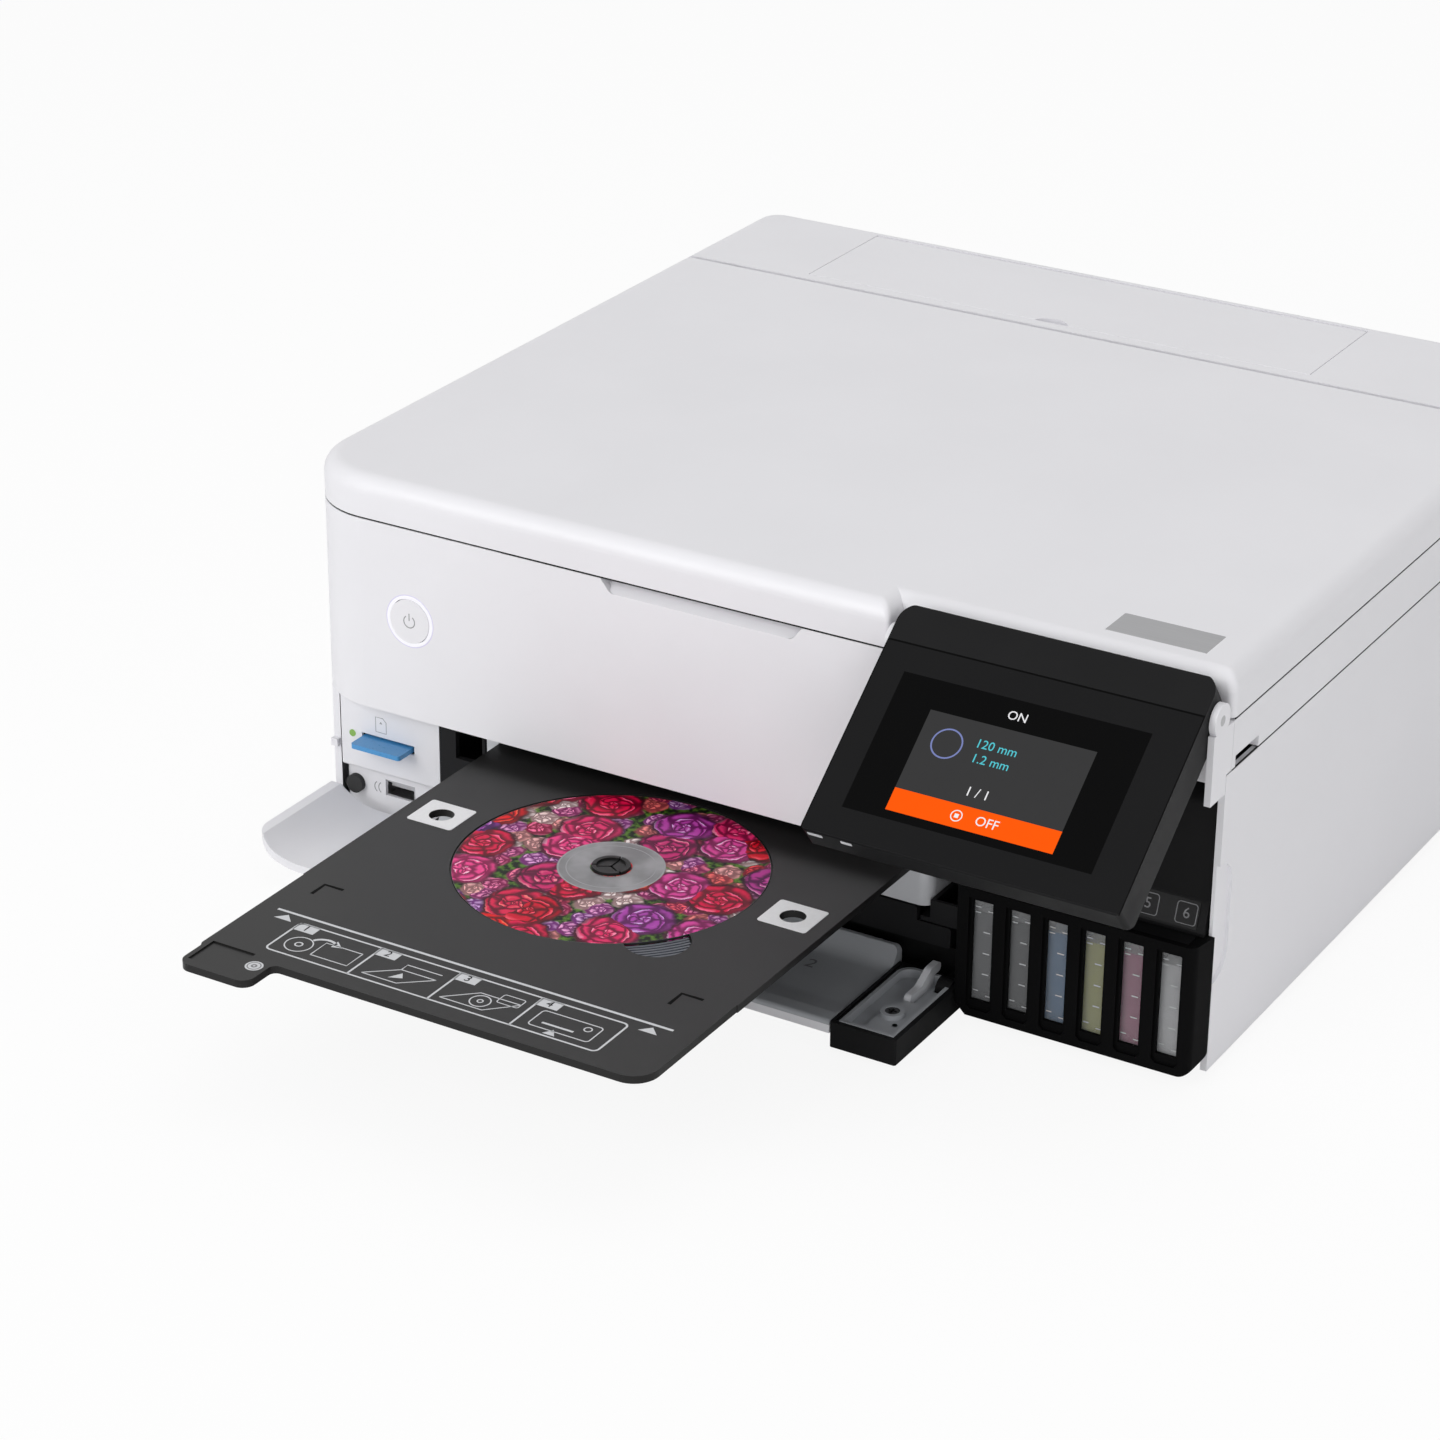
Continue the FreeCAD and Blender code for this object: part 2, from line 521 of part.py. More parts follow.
def outline(name, plane, corners, low, high):
    """A closed outline in plane XY, XZ or YZ, pulled from low to high across it.

    Each corner is (across, up) or (across, up, radius).
    """
    sketch = doc.addObject("Sketcher::SketchObject", f"{name}_outline")
    count = len(corners)
    points = [
        FreeCAD.Vector(as_size(c[0]).value, as_size(c[1]).value, 0) for c in corners
    ]
    for i in range(count):
        sketch.addGeometry(Part.LineSegment(points[i], points[(i + 1) % count]), False)
    for i in range(count):
        sketch.addConstraint(
            Sketcher.Constraint("Coincident", i, 2, (i + 1) % count, 1)
        )
    for i, corner in enumerate(corners):
        for kind, size, letter in (
            ("DistanceX", corner[0], "x"),
            ("DistanceY", corner[1], "y"),
        ):
            size = as_size(size)
            at = sketch.addConstraint(
                Sketcher.Constraint(kind, -1, 1, i, 1, size.value)
            )
            sketch.renameConstraint(at, f"corner{i}{letter}")
    for i, corner in enumerate(corners):
        if len(corner) < 3:
            continue
        radius = as_size(corner[2])
        before, here, after = points[i - 1], points[i], points[(i + 1) % count]
        nearby = 0.1
        sketch.fillet(
            (i - 1) % count,
            i,
            here + (before - here) * nearby,
            here + (after - here) * nearby,
            radius.value,
            True,
            True,
        )
        arc = max(
            k
            for k, line in enumerate(sketch.Geometry)
            if isinstance(line, Part.ArcOfCircle)
        )
        at = sketch.addConstraint(Sketcher.Constraint("Radius", arc, radius.value))
        sketch.renameConstraint(at, f"round{i}")
        sketch.setExpression(f"Constraints.round{i}", radius.text)
    for i, corner in enumerate(corners):
        for size, letter in ((corner[0], "x"), (corner[1], "y")):
            sketch.setExpression(f"Constraints.corner{i}{letter}", as_size(size).text)
    low, high = as_size(low), as_size(high)
    pull = {
        "XY": (FreeCAD.Vector(0, 0, 1), FreeCAD.Rotation(), "z"),
        "XZ": (
            FreeCAD.Vector(0, 1, 0),
            FreeCAD.Rotation(FreeCAD.Vector(1, 0, 0), TURN),
            "y",
        ),
        "YZ": (
            FreeCAD.Vector(1, 0, 0),
            FreeCAD.Rotation(FreeCAD.Vector(1, 1, 1), THIRD_TURN),
            "x",
        ),
    }
    direction, turn, letter = pull[plane]
    sketch.Placement = FreeCAD.Placement(FreeCAD.Vector(), turn)
    sketch.setExpression(f"Placement.Base.{letter}", low.text)
    solid = doc.addObject("Part::Extrusion", name)
    solid.Base = sketch
    solid.DirMode = "Custom"
    solid.Dir = direction
    solid.Solid = True
    bind(solid, "LengthFwd", high - low)
    return solid


def cut(name, base, *tools):
    """base with every tool taken away."""
    tool = tools[0]
    if len(tools) > 1:
        tool = doc.addObject("Part::MultiFuse", f"{name}_tools")
        tool.Shapes = list(tools)
    item = doc.addObject("Part::Cut", name)
    item.Base = base
    item.Tool = tool
    return item


def join(name, *pieces):
    item = doc.addObject("Part::MultiFuse", name)
    item.Shapes = list(pieces)
    return item


def group(name, *pieces):
    """Several like solids that make up one node."""
    item = doc.addObject("Part::Compound", name)
    item.Links = list(pieces)
    return item


def soften(name, base, radius, wanted):
    """base with the edges rounded that wanted(edge) picks."""
    doc.recompute()
    radius = as_size(radius)
    item = doc.addObject("Part::Fillet", name)
    item.Base = base
    item.Edges = [
        (number, radius.value, radius.value)
        for number, edge in enumerate(base.Shape.Edges, start=1)
        if wanted(edge)
    ]
    return item


def top_edges(size, front):
    """Picks the edges at one level, except those along the front line given."""
    level, line = as_size(size).value, as_size(front).value
    near = 0.01

    def wanted(edge):
        box = edge.BoundBox
        flat = abs(box.ZMin - level) < near and abs(box.ZMax - level) < near
        on_line = abs(box.YMin - line) < near and abs(box.YMax - line) < near
        return flat and not on_line

    return wanted


def shared(name, first, second):
    """What two solids have in common."""
    item = doc.addObject("Part::Common", name)
    item.Base = first
    item.Tool = second
    return item


def node(label, item):
    item.Label = label
    nodes.append(item)
    return item


def across(middle, width):
    return (middle - width / 2, middle + width / 2)


# ---------------------------------------------------------------- lower body

back = front + dim.body_depth
skirt = dim.foot_height + dim.slip

inner_left = body_left + dim.wall
inner_right = body_right - dim.wall
inner_back = back - dim.wall
inner_round = dim.corner_round - dim.wall
inner_back_round = dim.back_round - dim.wall

base = outline(
    "base_block",
    "XY",
    [
        (inner_left, inner_back, inner_back_round),
        (inner_left, front + dim.wall, inner_round),
        (inner_right, front + dim.wall),
        (inner_right, inner_back, inner_back_round),
    ],
    dim.foot_height,
    dim.base_top,
)
cover_space = block(
    "cover_space",
    (body_left, body_right),
    (front, front + dim.base_front),
    (0, dim.base_top + 1),
)
tank_space = block(
    "tank_space",
    (tank_left - dim.slip, half_width),
    (front, front + dim.tank_back + dim.slip),
    (dim.tank_under, dim.base_top + 1),
)
connector_space = block(
    "connector_space",
    (-half_width, bay_left),
    (front, front + dim.panel_face + dim.port_depth + dim.ledge_depth + dim.wall),
    (dim.foot_height + dim.thin_wall, dim.base_top + 1),
)
node("base_frame", cut("base_cut", base, cover_space, tank_space, connector_space))

feet = []
for name, x in (("left", body_left + dim.foot_inset), ("right", body_right - dim.foot_inset)):
    for place, y in (
        ("front", front + dim.bay_front + dim.foot_inset),
        ("back", back - dim.foot_inset),
    ):
        feet.append(
            block(
                f"foot_{place}_{name}",
                across(x, dim.foot_width),
                across(y, dim.foot_width),
                (0, dim.foot_height),
            )
        )

node("feet", group("feet_set", *feet))

# Side covers: thin walls that follow the round corners.
back_seam = dim.back_round * 1.5
left_wall = outline(
    "left_wall",
    "XY",
    [
        (body_left + back_seam, back),
        (body_left, back, dim.back_round),
        (body_left, front, dim.corner_round),
        (bay_left, front),
        (bay_left, front + dim.wall),
        (inner_left, front + dim.wall, inner_round),
        (inner_left, inner_back, inner_back_round),
        (body_left + back_seam, inner_back),
    ],
    skirt,
    side_top,
)
above_connectors = block(
    "above_connectors",
    (body_left - 1, bay_left + 1),
    (front - 1, front + dim.corner_round + 1 + dim.seam),
    (dim.fascia_bottom - dim.seam, side_top + 1),
)
cover_path = block(
    "cover_path",
    (body_left - 1, bay_left + 1),
    (front - 1, front + dim.panel_face + dim.seam),
    (0, dim.fascia_bottom),
)
latch_nub = block(
    "latch_nub",
    across(body_left + dim.nub_inset, dim.nub_size),
    (front + dim.panel_face - dim.nub_size / 2, front + dim.panel_face + dim.nub_size),
    across(dim.nub_height, dim.nub_size),
)
left_shell = cut("left_shell", left_wall, above_connectors, cover_path)
node("left_cover", join("left_cover_join", left_shell, latch_nub))

right_wall = outline(
    "right_wall",
    "XY",
    [
        (body_right - back_seam, back),
        (body_right, back, dim.back_round),
        (body_right, front + dim.tank_return + dim.slip),
        (inner_right, front + dim.tank_return + dim.slip),
        (inner_right, inner_back, inner_back_round),
        (body_right - back_seam, inner_back),
    ],
    skirt,
    side_top,
)
opener = outline(
    "opener_recess",
    "YZ",
    [
        (front + dim.tank_return - 1, dim.opener_low),
        (front + dim.tank_return + dim.opener_width, dim.opener_low, dim.opener_width * 0.9),
        (front + dim.tank_return + dim.opener_width, dim.opener_high, dim.opener_width * 0.9),
        (front + dim.tank_return - 1, dim.opener_high),
    ],
    body_right - dim.wall / 2,
    body_right + 1,
)
node("right_cover", cut("right_cover_cut", right_wall, opener))

# Back panel between the side covers, with openings for its sockets.
back_wall = block(
    "back_wall",
    (body_left + back_seam + dim.seam, body_right - back_seam - dim.seam),
    (inner_back, back),
    (skirt, side_top),
)
inlet_hole = block(
    "inlet_hole",
    across(inlet_x, dim.inlet_width),
    (back - dim.wall - 1, back + 1),
    across(dim.inlet_z, dim.inlet_height),
)
jack_hole = block(
    "jack_hole",
    across(dim.jack_x, dim.jack_width),
    (back - dim.wall - 1, back + 1),
    across(dim.jack_z, dim.jack_height),
)
host_hole = block(
    "host_hole",
    across(dim.jack_x + dim.jack_pitch, dim.host_width),
    (back - dim.wall - 1, back + 1),
    across(dim.jack_z, dim.host_height),
)
node("rear_cover", cut("rear_cover_cut", back_wall, inlet_hole, jack_hole, host_hole))


def socket(label, x, z, width, height, tongue_width, tongue_height, tongue_drop):
    """A socket body behind the back panel with its mouth open and a tongue inside."""
    depth = dim.socket_depth
    shell = block(
        f"{label}_shell",
        across(x, width),
        (back - dim.wall - depth, back),
        across(z, height),
    )
    mouth = block(
        f"{label}_mouth",
        across(x, width - dim.thin_wall * 2),
        (back - depth, back + 1),
        across(z, height - dim.thin_wall * 2),
    )
    tongue = block(
        f"{label}_tongue",
        across(x, tongue_width),
        (back - depth - dim.thin_wall, back - dim.wall),
        across(z - tongue_drop, tongue_height),
    )
    hollow = cut(f"{label}_hollow", shell, mouth)
    return node(label, join(f"{label}_join", hollow, tongue))


socket(
    "mains_inlet",
    inlet_x,
    dim.inlet_z,
    dim.inlet_width,
    dim.inlet_height,
    dim.inlet_tongue,
    dim.inlet_tongue_height,
    0,
)
socket(
    "network_socket",
    dim.jack_x,
    dim.jack_z,
    dim.jack_width,
    dim.jack_height,
    dim.jack_tongue,
    dim.jack_tongue_height,
    dim.jack_tongue_drop,
)
socket(
    "computer_socket",
    dim.jack_x + dim.jack_pitch,
    dim.jack_z,
    dim.host_width,
    dim.host_height,
    dim.host_tongue,
    dim.host_tongue_height,
    0,
)

# Rear paper tower with its sloping chute.
tower_front = front + dim.tower_front
tower = outline(
    "tower_body",
    "XY",
    [
        (body_left, tower_front),
        (body_left, back, dim.back_round),
        (body_right, back, dim.back_round),
        (body_right, tower_front),
    ],
    side_top + dim.seam,
    dim.body_height,
)
feed = across(paper_middle, dim.feed_width)
feed_y = (front + dim.feed_front, front + dim.feed_front + dim.feed_depth)
feed_opening = block("feed_opening", feed, feed_y, (unit_bottom - 2, dim.body_height + 1))
flap_seat = block(
    "flap_seat",
    (feed[0] - dim.flap_margin, feed[1] + dim.flap_margin),
    (feed_y[0] - dim.flap_margin, feed_y[1] + dim.flap_margin),
    (dim.body_height - dim.flap_thickness - dim.slip, dim.body_height + 1),
)
# Ears that stand clear of the lid's swing and carry the hinge pins.
hinge_y = front + dim.hinge_y
ears = []
ear_bores = []
for side, name in ((-1, "left"), (1, "right")):
    low = dim.ear_x * side - dim.ear_width / 2
    ear_bores.append(
        rod(
            f"ear_bore_{name}",
            "X",
            dim.hinge_pin + dim.running_fit,
            low - 1,
            dim.ear_width + 2,
            y=hinge_y,
            z=hinge_z,
        )
    )
    ears.append(
        rod(f"ear_eye_{name}", "X", dim.hinge_eye, low, dim.ear_width, y=hinge_y, z=hinge_z)
    )
    ears.append(
        block(
            f"ear_post_{name}",
            (low, low + dim.ear_width),
            across(hinge_y, dim.hinge_pin * 1.6),
            (ear_low, hinge_z),
        )
    )
    ears.append(
        block(
            f"ear_foot_{name}",
            (low, low + dim.ear_width),
            (hinge_y - dim.hinge_pin * 0.8, tower_front + 1),
            (ear_low, ear_low + dim.ear_width),
        )
    )
tower_round = soften(
    "tower_round",
    tower,
    dim.lid_round,
    top_edges(dim.body_height, front=tower_front),
)
flap_pin_bores = []
flap_axis_y = feed_y[1] + dim.flap_margin - dim.slip - dim.flap_thickness / 2
flap_axis_z = dim.body_height - dim.flap_thickness / 2
for side, x in ((-1, feed[0] - dim.flap_margin - dim.flap_pin_length), (1, feed[1] + dim.flap_margin)):
    flap_pin_bores.append(
        rod(
            f"flap_bore_{'left' if side < 0 else 'right'}",
            "X",
            dim.flap_pin + dim.running_fit,
            x - dim.slip,
            dim.flap_pin_length + dim.slip * 2,
            y=flap_axis_y,
            z=flap_axis_z,
        )
    )
node(
    "rear_tower",
    cut(
        "tower_cut",
        join("tower_joined", tower_round, *ears),
        feed_opening,
        flap_seat,
        *ear_bores,
        *flap_pin_bores,
    ),
)

# Light cover that closes the rear slot and turns about its back edge.
flap_x = (feed[0] - dim.flap_margin + dim.slip, feed[1] + dim.flap_margin - dim.slip)
flap_y = (feed_y[0] - dim.flap_margin + dim.slip, flap_axis_y + dim.flap_thickness / 2)
flap = outline(
    "flap_section",
    "YZ",
    [
        (flap_y[0], dim.body_height - dim.flap_thickness),
        (flap_y[0], dim.body_height, dim.flap_edge),
        (flap_y[1], dim.body_height, dim.flap_thickness * 0.49),
        (flap_y[1], dim.body_height - dim.flap_thickness, dim.flap_thickness * 0.49),
    ],
    flap_x[0],
    flap_x[1],
)
flap_grip = rod(
    "flap_grip",
    "Z",
    dim.flap_grip,
    unit_top,
    dim.body_height - unit_top + 1,
    paper_middle,
    flap_y[0] - dim.flap_grip_out,
)
flap_pins = [
    rod(
        "flap_pin_left", "X", dim.flap_pin, flap_x[0] - dim.flap_pin_length, dim.flap_pin_length + 1,
        y=flap_axis_y, z=flap_axis_z,
    ),
    rod(
        "flap_pin_right", "X", dim.flap_pin, flap_x[1] - 1, dim.flap_pin_length + 1,
        y=flap_axis_y, z=flap_axis_z,
    ),
]
node("rear_feed_cover", cut("flap_cut", join("flap_join", flap, *flap_pins), flap_grip))
chute = outline(
    "chute_slope",
    "YZ",
    [
        (feed_y[1], unit_bottom),
        (feed_y[1], dim.body_height - dim.flap_thickness - dim.chute_clear),
        (
            feed_y[1] - dim.chute_edge,
            dim.body_height - dim.flap_thickness - dim.chute_clear,
            dim.chute_round,
        ),
        (
            feed_y[0] + dim.chute_gap + dim.chute_foot,
            unit_bottom + dim.thin_wall,
            dim.chute_foot,
        ),
        (feed_y[0] + dim.chute_gap, unit_bottom + dim.thin_wall),
        (feed_y[0] + dim.chute_gap, unit_bottom),
    ],
    feed[0],
    feed[1],
)
node("paper_chute", chute)

# ---------------------------------------------------------------- connector panel

panel_y = front + dim.panel_face
panel_right = bay_left - dim.slip
panel_profile = outline(
    "connector_profile",
    "YZ",
    [
        (panel_y, dim.fascia_bottom - dim.seam),
        (panel_y, dim.ledge_level, dim.ledge_round),
        (panel_y + dim.ledge_depth, dim.ledge_level - dim.ledge_fall),
        (panel_y + dim.ledge_depth, dim.foot_height + dim.thin_wall),
        (panel_y + dim.ledge_depth + dim.wall, dim.foot_height + dim.thin_wall),
        (panel_y + dim.ledge_depth + dim.wall, dim.fascia_bottom - dim.seam),
    ],
    panel_left,
    panel_right,
)
slot_width = dim.card_width + dim.slip * 2 + dim.slot_rim
slot_height = dim.card_thickness + dim.slot_room
card_hole = block(
    "card_hole",
    across(card_x, slot_width),
    (panel_y - 1, panel_y + dim.ledge_depth + dim.wall + 1),
    across(dim.card_z, slot_height),
)
port_face = panel_y + dim.ledge_depth
port_hole = block(
    "port_hole",
    across(port_x, dim.port_width + dim.thin_wall),
    (panel_y - 1, port_face + dim.wall + 1),
    across(dim.port_z, dim.port_height + dim.thin_wall),
)
lamp_hole = rod("lamp_hole", "Y", dim.lamp_radius, panel_y - 1, dim.wall * 4, lamp_x, z=dim.lamp_z)
node("connector_panel", cut("connector_cut", panel_profile, card_hole, port_hole, lamp_hole))

card_back = panel_y - dim.card_out + dim.card_length
reader = block(
    "reader_body",
    across(card_x, slot_width),
    (panel_y + dim.reader_setback, card_back + dim.slip + dim.thin_wall),
    across(dim.card_z, slot_height),
)
reader_mouth = block(
    "reader_mouth",
    across(card_x, dim.card_width + dim.slip * 2),
    (panel_y, card_back + dim.slip),
    across(dim.card_z, dim.card_thickness + dim.slip * 2),
)
node("card_reader", cut("reader_cut", reader, reader_mouth))

card = outline(
    "card_outline",
    "XY",
    [
        (card_x - dim.card_width / 2, panel_y - dim.card_out, dim.card_round),
        (card_x + dim.card_width / 2, panel_y - dim.card_out, dim.card_round),
        (card_x + dim.card_width / 2, card_back, 1),
        (card_x - dim.card_width / 2 + dim.card_bevel, card_back),
        (card_x - dim.card_width / 2, card_back - dim.card_bevel),
    ],
    dim.card_z - dim.card_thickness / 2,
    dim.card_z + dim.card_thickness / 2,
)
node("memory_card", card)

port_shell = block(
    "port_shell",
    across(port_x, dim.port_width + dim.thin_wall),
    (port_face + dim.port_setback, port_face + dim.port_depth),
    across(dim.port_z, dim.port_height + dim.thin_wall),
)
port_mouth = block(
    "port_mouth",
    across(port_x, dim.port_width),
    (port_face, port_face + dim.port_depth - 1),
    across(dim.port_z, dim.port_height),
)
port_tongue = block(
    "port_tongue",
    across(port_x, dim.port_width - 2),
    (port_face + 2, port_face + dim.port_depth - 0.5),
    (dim.port_z + 0.5, dim.port_z + 0.5 + dim.port_tongue),
)
node("stick_port", join("port_join", cut("port_cut", port_shell, port_mouth), port_tongue))

node("status_lamp", rod("lamp", "Y", dim.lamp_radius, panel_y - 0.3, dim.wall + 2, lamp_x, z=dim.lamp_z))
node(
    "rubber_buffer",
    rod(
        "buffer", "Y", dim.buffer_radius, port_face - dim.buffer_height, dim.buffer_height,
        buffer_x, z=dim.buffer_z,
    ),
)

# ---------------------------------------------------------------- paper bay

bay_y = front + dim.bay_front
bay_top = dim.deck_level
guide = across(paper_middle, dim.tray_width + dim.guide_margin * 2)
window_x = (guide[0] - dim.bay_window_reach, guide[0] - dim.thin_wall)
roller_y = front + dim.well_front + dim.well_depth - dim.roller_radius
roller_holes = rod(
    "roller_holes",
    "X",
    dim.roller_pin + dim.running_fit,
    bay_left - 1,
    bay_right - bay_left + 2,
    y=roller_y,
    z=dim.roller_z,
)
head_y = (
    front + dim.carriage_front + dim.head_margin,
    front + dim.carriage_front + dim.carriage_depth - dim.head_margin,
)
head_way = block(
    "head_way",
    (bay_left - 1, bay_right + 1),
    (head_y[0] - dim.seam, head_y[1] + dim.seam),
    (dim.head_bottom - dim.seam, bay_top + 1),
)
side_front = block(
    "bay_left_front", (bay_left, guide[0] - dim.slip), (bay_y, bay_y + dim.wall), (dim.base_top, bay_top)
)
side_run = block(
    "bay_left_run",
    (bay_left, bay_left + dim.wall),
    (bay_y, front + dim.bay_back),
    (dim.base_top, bay_top),
)
cassette_way = block(
    "cassette_way",
    (cassette_left - dim.seam, guide[0]),
    (bay_y - 1, bay_y + dim.wall + 1),
    (dim.base_top - 1, dim.guide_bottom),
)
bay_window = block(
    "bay_window",
    window_x,
    (bay_y - 1, bay_y + dim.wall + 1),
    (dim.bay_window_low, dim.bay_window_high),
)
node(
    "bay_wall_left",
    cut(
        "bay_left_cut",
        join("bay_left_join", side_front, side_run),
        bay_window,
        cassette_way,
        roller_holes,
        head_way,
    ),
)

pocket_left = guide[1] + dim.slip
right_run = block(
    "bay_right_run",
    (bay_right - dim.wall, bay_right),
    (bay_y, front + dim.bay_back),
    (dim.base_top, bay_top),
)
pocket = block(
    "pocket_body",
    (pocket_left, bay_right - 1),
    (bay_y, bay_y + dim.latch_depth),
    (dim.latch_low, dim.latch_high),
)
pocket_hollow = block(
    "pocket_hollow",
    (pocket_left + dim.thin_wall, bay_right - dim.wall),
    (bay_y + dim.thin_wall, bay_y + dim.latch_depth - dim.thin_wall),
    (dim.latch_low + dim.thin_wall, dim.latch_high + 1.4),
)
ledge = block(
    "pocket_ledge",
    (pocket_left - dim.latch_ledge, pocket_left + 1),
    (bay_y, bay_y + dim.latch_ledge_depth),
    (dim.latch_low, dim.latch_low + dim.latch_ledge_height),
)
right_parts = join("bay_right_join", right_run, pocket, ledge)
node("bay_wall_right", cut("bay_right_cut", right_parts, pocket_hollow, roller_holes, head_way))

# White guide: its lower bar carries the tray, its upper bar holds it down.
guide_plate = outline(
    "guide_plate",
    "XY",
    [
        (guide[0], bay_y, dim.guide_edge),
        (guide[1], bay_y, dim.guide_round),
        (guide[1], bay_y + dim.guide_depth, 2),
        (guide[0], bay_y + dim.guide_depth, dim.guide_edge),
    ],
    dim.guide_bottom,
    bay_top,
)
tray_x = across(paper_middle, dim.tray_width)
slot_play = dim.tray_step + dim.slip
guide_slot = block(
    "guide_slot",
    (tray_x[0] - slot_play, tray_x[1] + slot_play),
    (bay_y - 1, bay_y + dim.guide_depth + 1),
    (dim.tray_level - dim.slip, dim.tray_level - dim.slip + dim.guide_slot),
)
guide_relief = block(
    "guide_relief",
    (tray_x[0] + dim.guide_rest, tray_x[1] - dim.guide_rest),
    (bay_y + dim.wall * 1.5, bay_y + dim.guide_depth + 1),
    (dim.guide_bottom - 1, dim.tray_level - dim.wall * 1.5),
)
node("disc_guide", cut("guide_cut", guide_plate, guide_slot, guide_relief))

cassette = outline(
    "cassette_outer",
    "XZ",
    [
        (cassette_left, dim.base_top + dim.slip, dim.cassette_round),
        (cassette_right, dim.base_top + dim.slip, dim.cassette_round),
        (cassette_right, dim.base_top + dim.slip + dim.cassette_low, 1),
        (cassette_step, dim.base_top + dim.slip + dim.cassette_low),
        (cassette_step, dim.base_top + dim.slip + dim.cassette_height, 1),
        (cassette_left, dim.base_top + dim.slip + dim.cassette_height, 1),
    ],
    bay_y + dim.cassette_setback,
    front + dim.cassette_back,
)
cassette_room = block(
    "cassette_room",
    (cassette_left + dim.wall, cassette_right - dim.wall),
    (bay_y + dim.cassette_setback + dim.wall, front + dim.cassette_back - dim.wall),
    (dim.base_top + dim.slip + dim.wall, dim.base_top + dim.cassette_height * 2),
)
node("paper_cassette", cut("cassette_cut", cassette, cassette_room))

# ---------------------------------------------------------------- inner deck and mechanism

deck_x = (inner_left, inner_right)
deck_top = dim.deck_level + dim.deck_thickness
deck = outline(
    "deck_plate",
    "XY",
    [
        (inner_left, inner_back, inner_back_round),
        (inner_left, bay_y),
        (inner_right, bay_y),
        (inner_right, inner_back, inner_back_round),
    ],
    dim.deck_level,
    deck_top,
)
well_y = (front + dim.well_front, front + dim.well_front + dim.well_depth)
deck_cut = (dim.deck_level - 1, deck_top + 1)
well = block("deck_well", (deck_x[0] + dim.well_margin, deck_x[1] - dim.well_margin), well_y, deck_cut)
tank_gap = block(
    "deck_tank_gap",
    (tank_left - dim.slip, body_right),
    (front, front + dim.tank_back + dim.slip),
    deck_cut,
)
corner_gap = block(
    "deck_corner_gap",
    (body_left, bay_left),
    (front, front + dim.corner_round + dim.seam),
    deck_cut,
)
paper_drop = block(
    "paper_drop",
    (feed[0], feed[1]),
    (feed_y[0] - dim.chute_foot, feed_y[0] + dim.chute_gap + dim.chute_foot),
    deck_cut,
)
rail_y = front + dim.rail_y
rail_bore = rod(
    "rail_bore", "X", dim.rail_radius, body_left, dim.body_width, y=rail_y, z=dim.rail_z
)
rail_mounts = []
for place, x in (("left", deck_x[0]), ("right", deck_x[1] - dim.mount_width)):
    mount = block(
        f"rail_mount_{place}",
        (x, x + dim.mount_width),
        across(rail_y, dim.mount_depth),
        (deck_top, dim.rail_z + dim.rail_radius * 2),
    )
    rail_mounts.append(cut(f"rail_mount_bored_{place}", mount, rail_bore))
# Posts of the deck that carry the rear tower.
posts = []
for place, x in (("left", inner_left), ("right", inner_right - dim.post_width)):
    posts.append(
        block(
            f"tower_post_{place}",
            (x, x + dim.post_width),
            (tower_front + dim.wall, back - back_seam),
            (deck_top, side_top + dim.seam),
        )
    )
open_deck = cut("deck_cut", deck, well, tank_gap, corner_gap, paper_drop)
node("inner_deck", group("deck_set", open_deck, *rail_mounts, *posts))
node(
    "carriage_rail",
    rod("rail", "X", dim.rail_radius, deck_x[0], deck_x[1] - deck_x[0], y=rail_y, z=dim.rail_z),
)

carriage_x = across(paper_middle, dim.carriage_width)
carriage_y = (front + dim.carriage_front, front + dim.carriage_front + dim.carriage_depth)
carriage_body = outline(
    "carriage_side",
    "YZ",
    [
        (carriage_y[0], dim.carriage_bottom),
        (carriage_y[0], dim.carriage_top, dim.carriage_nose),
        (carriage_y[1], dim.carriage_top, 3),
        (carriage_y[1] + dim.carriage_heel, dim.rail_z + dim.bearing_half, 3),
        (carriage_y[1] + dim.carriage_heel, dim.rail_z - dim.bearing_half, 3),
        (carriage_y[1], dim.carriage_bottom + dim.bearing_half, 3),
        (carriage_y[1], dim.carriage_bottom),
    ],
    carriage_x[0],
    carriage_x[1],
)
carriage_bore = rod(
    "carriage_bore",
    "X",
    dim.rail_radius + dim.running_fit,
    carriage_x[0] - 1,
    dim.carriage_width + 2,
    y=rail_y,
    z=dim.rail_z,
)
carriage_room = block(
    "carriage_room",
    (carriage_x[0] + dim.wall, carriage_x[1] - dim.wall),
    (carriage_y[0] + dim.wall, carriage_y[1] - dim.wall),
    (dim.carriage_bottom + dim.carriage_floor, dim.carriage_top + 1),
)
node("carriage", cut("carriage_cut", carriage_body, carriage_bore, carriage_room))
head = block(
    "head_block",
    across(paper_middle, dim.head_width),
    head_y,
    (dim.head_bottom, dim.carriage_bottom),
)
node("print_head", head)

# Platen with ribs under the print line.
bay_inner = (bay_left + dim.wall, bay_right - dim.wall)
platen_top = dim.tray_level - dim.seam
platen_y = (well_y[0] + dim.platen_front, well_y[1] - dim.platen_back)
platen_parts = [
    block(
        "platen_plate",
        bay_inner,
        platen_y,
        (platen_top - dim.rib_height - dim.wall, platen_top - dim.rib_height),
    )
]
rib_pitch = (bay_inner[1] - bay_inner[0]) / RIBS
for i in range(RIBS):
    middle = bay_inner[0] + rib_pitch * (i + 0.5)
    platen_parts.append(
        block(
            f"platen_rib_{i + 1}",
            across(middle, dim.thin_wall),
            platen_y,
            (platen_top - dim.rib_height - 0.6, platen_top),
        )
    )
node("platen", join("platen_join", *platen_parts))

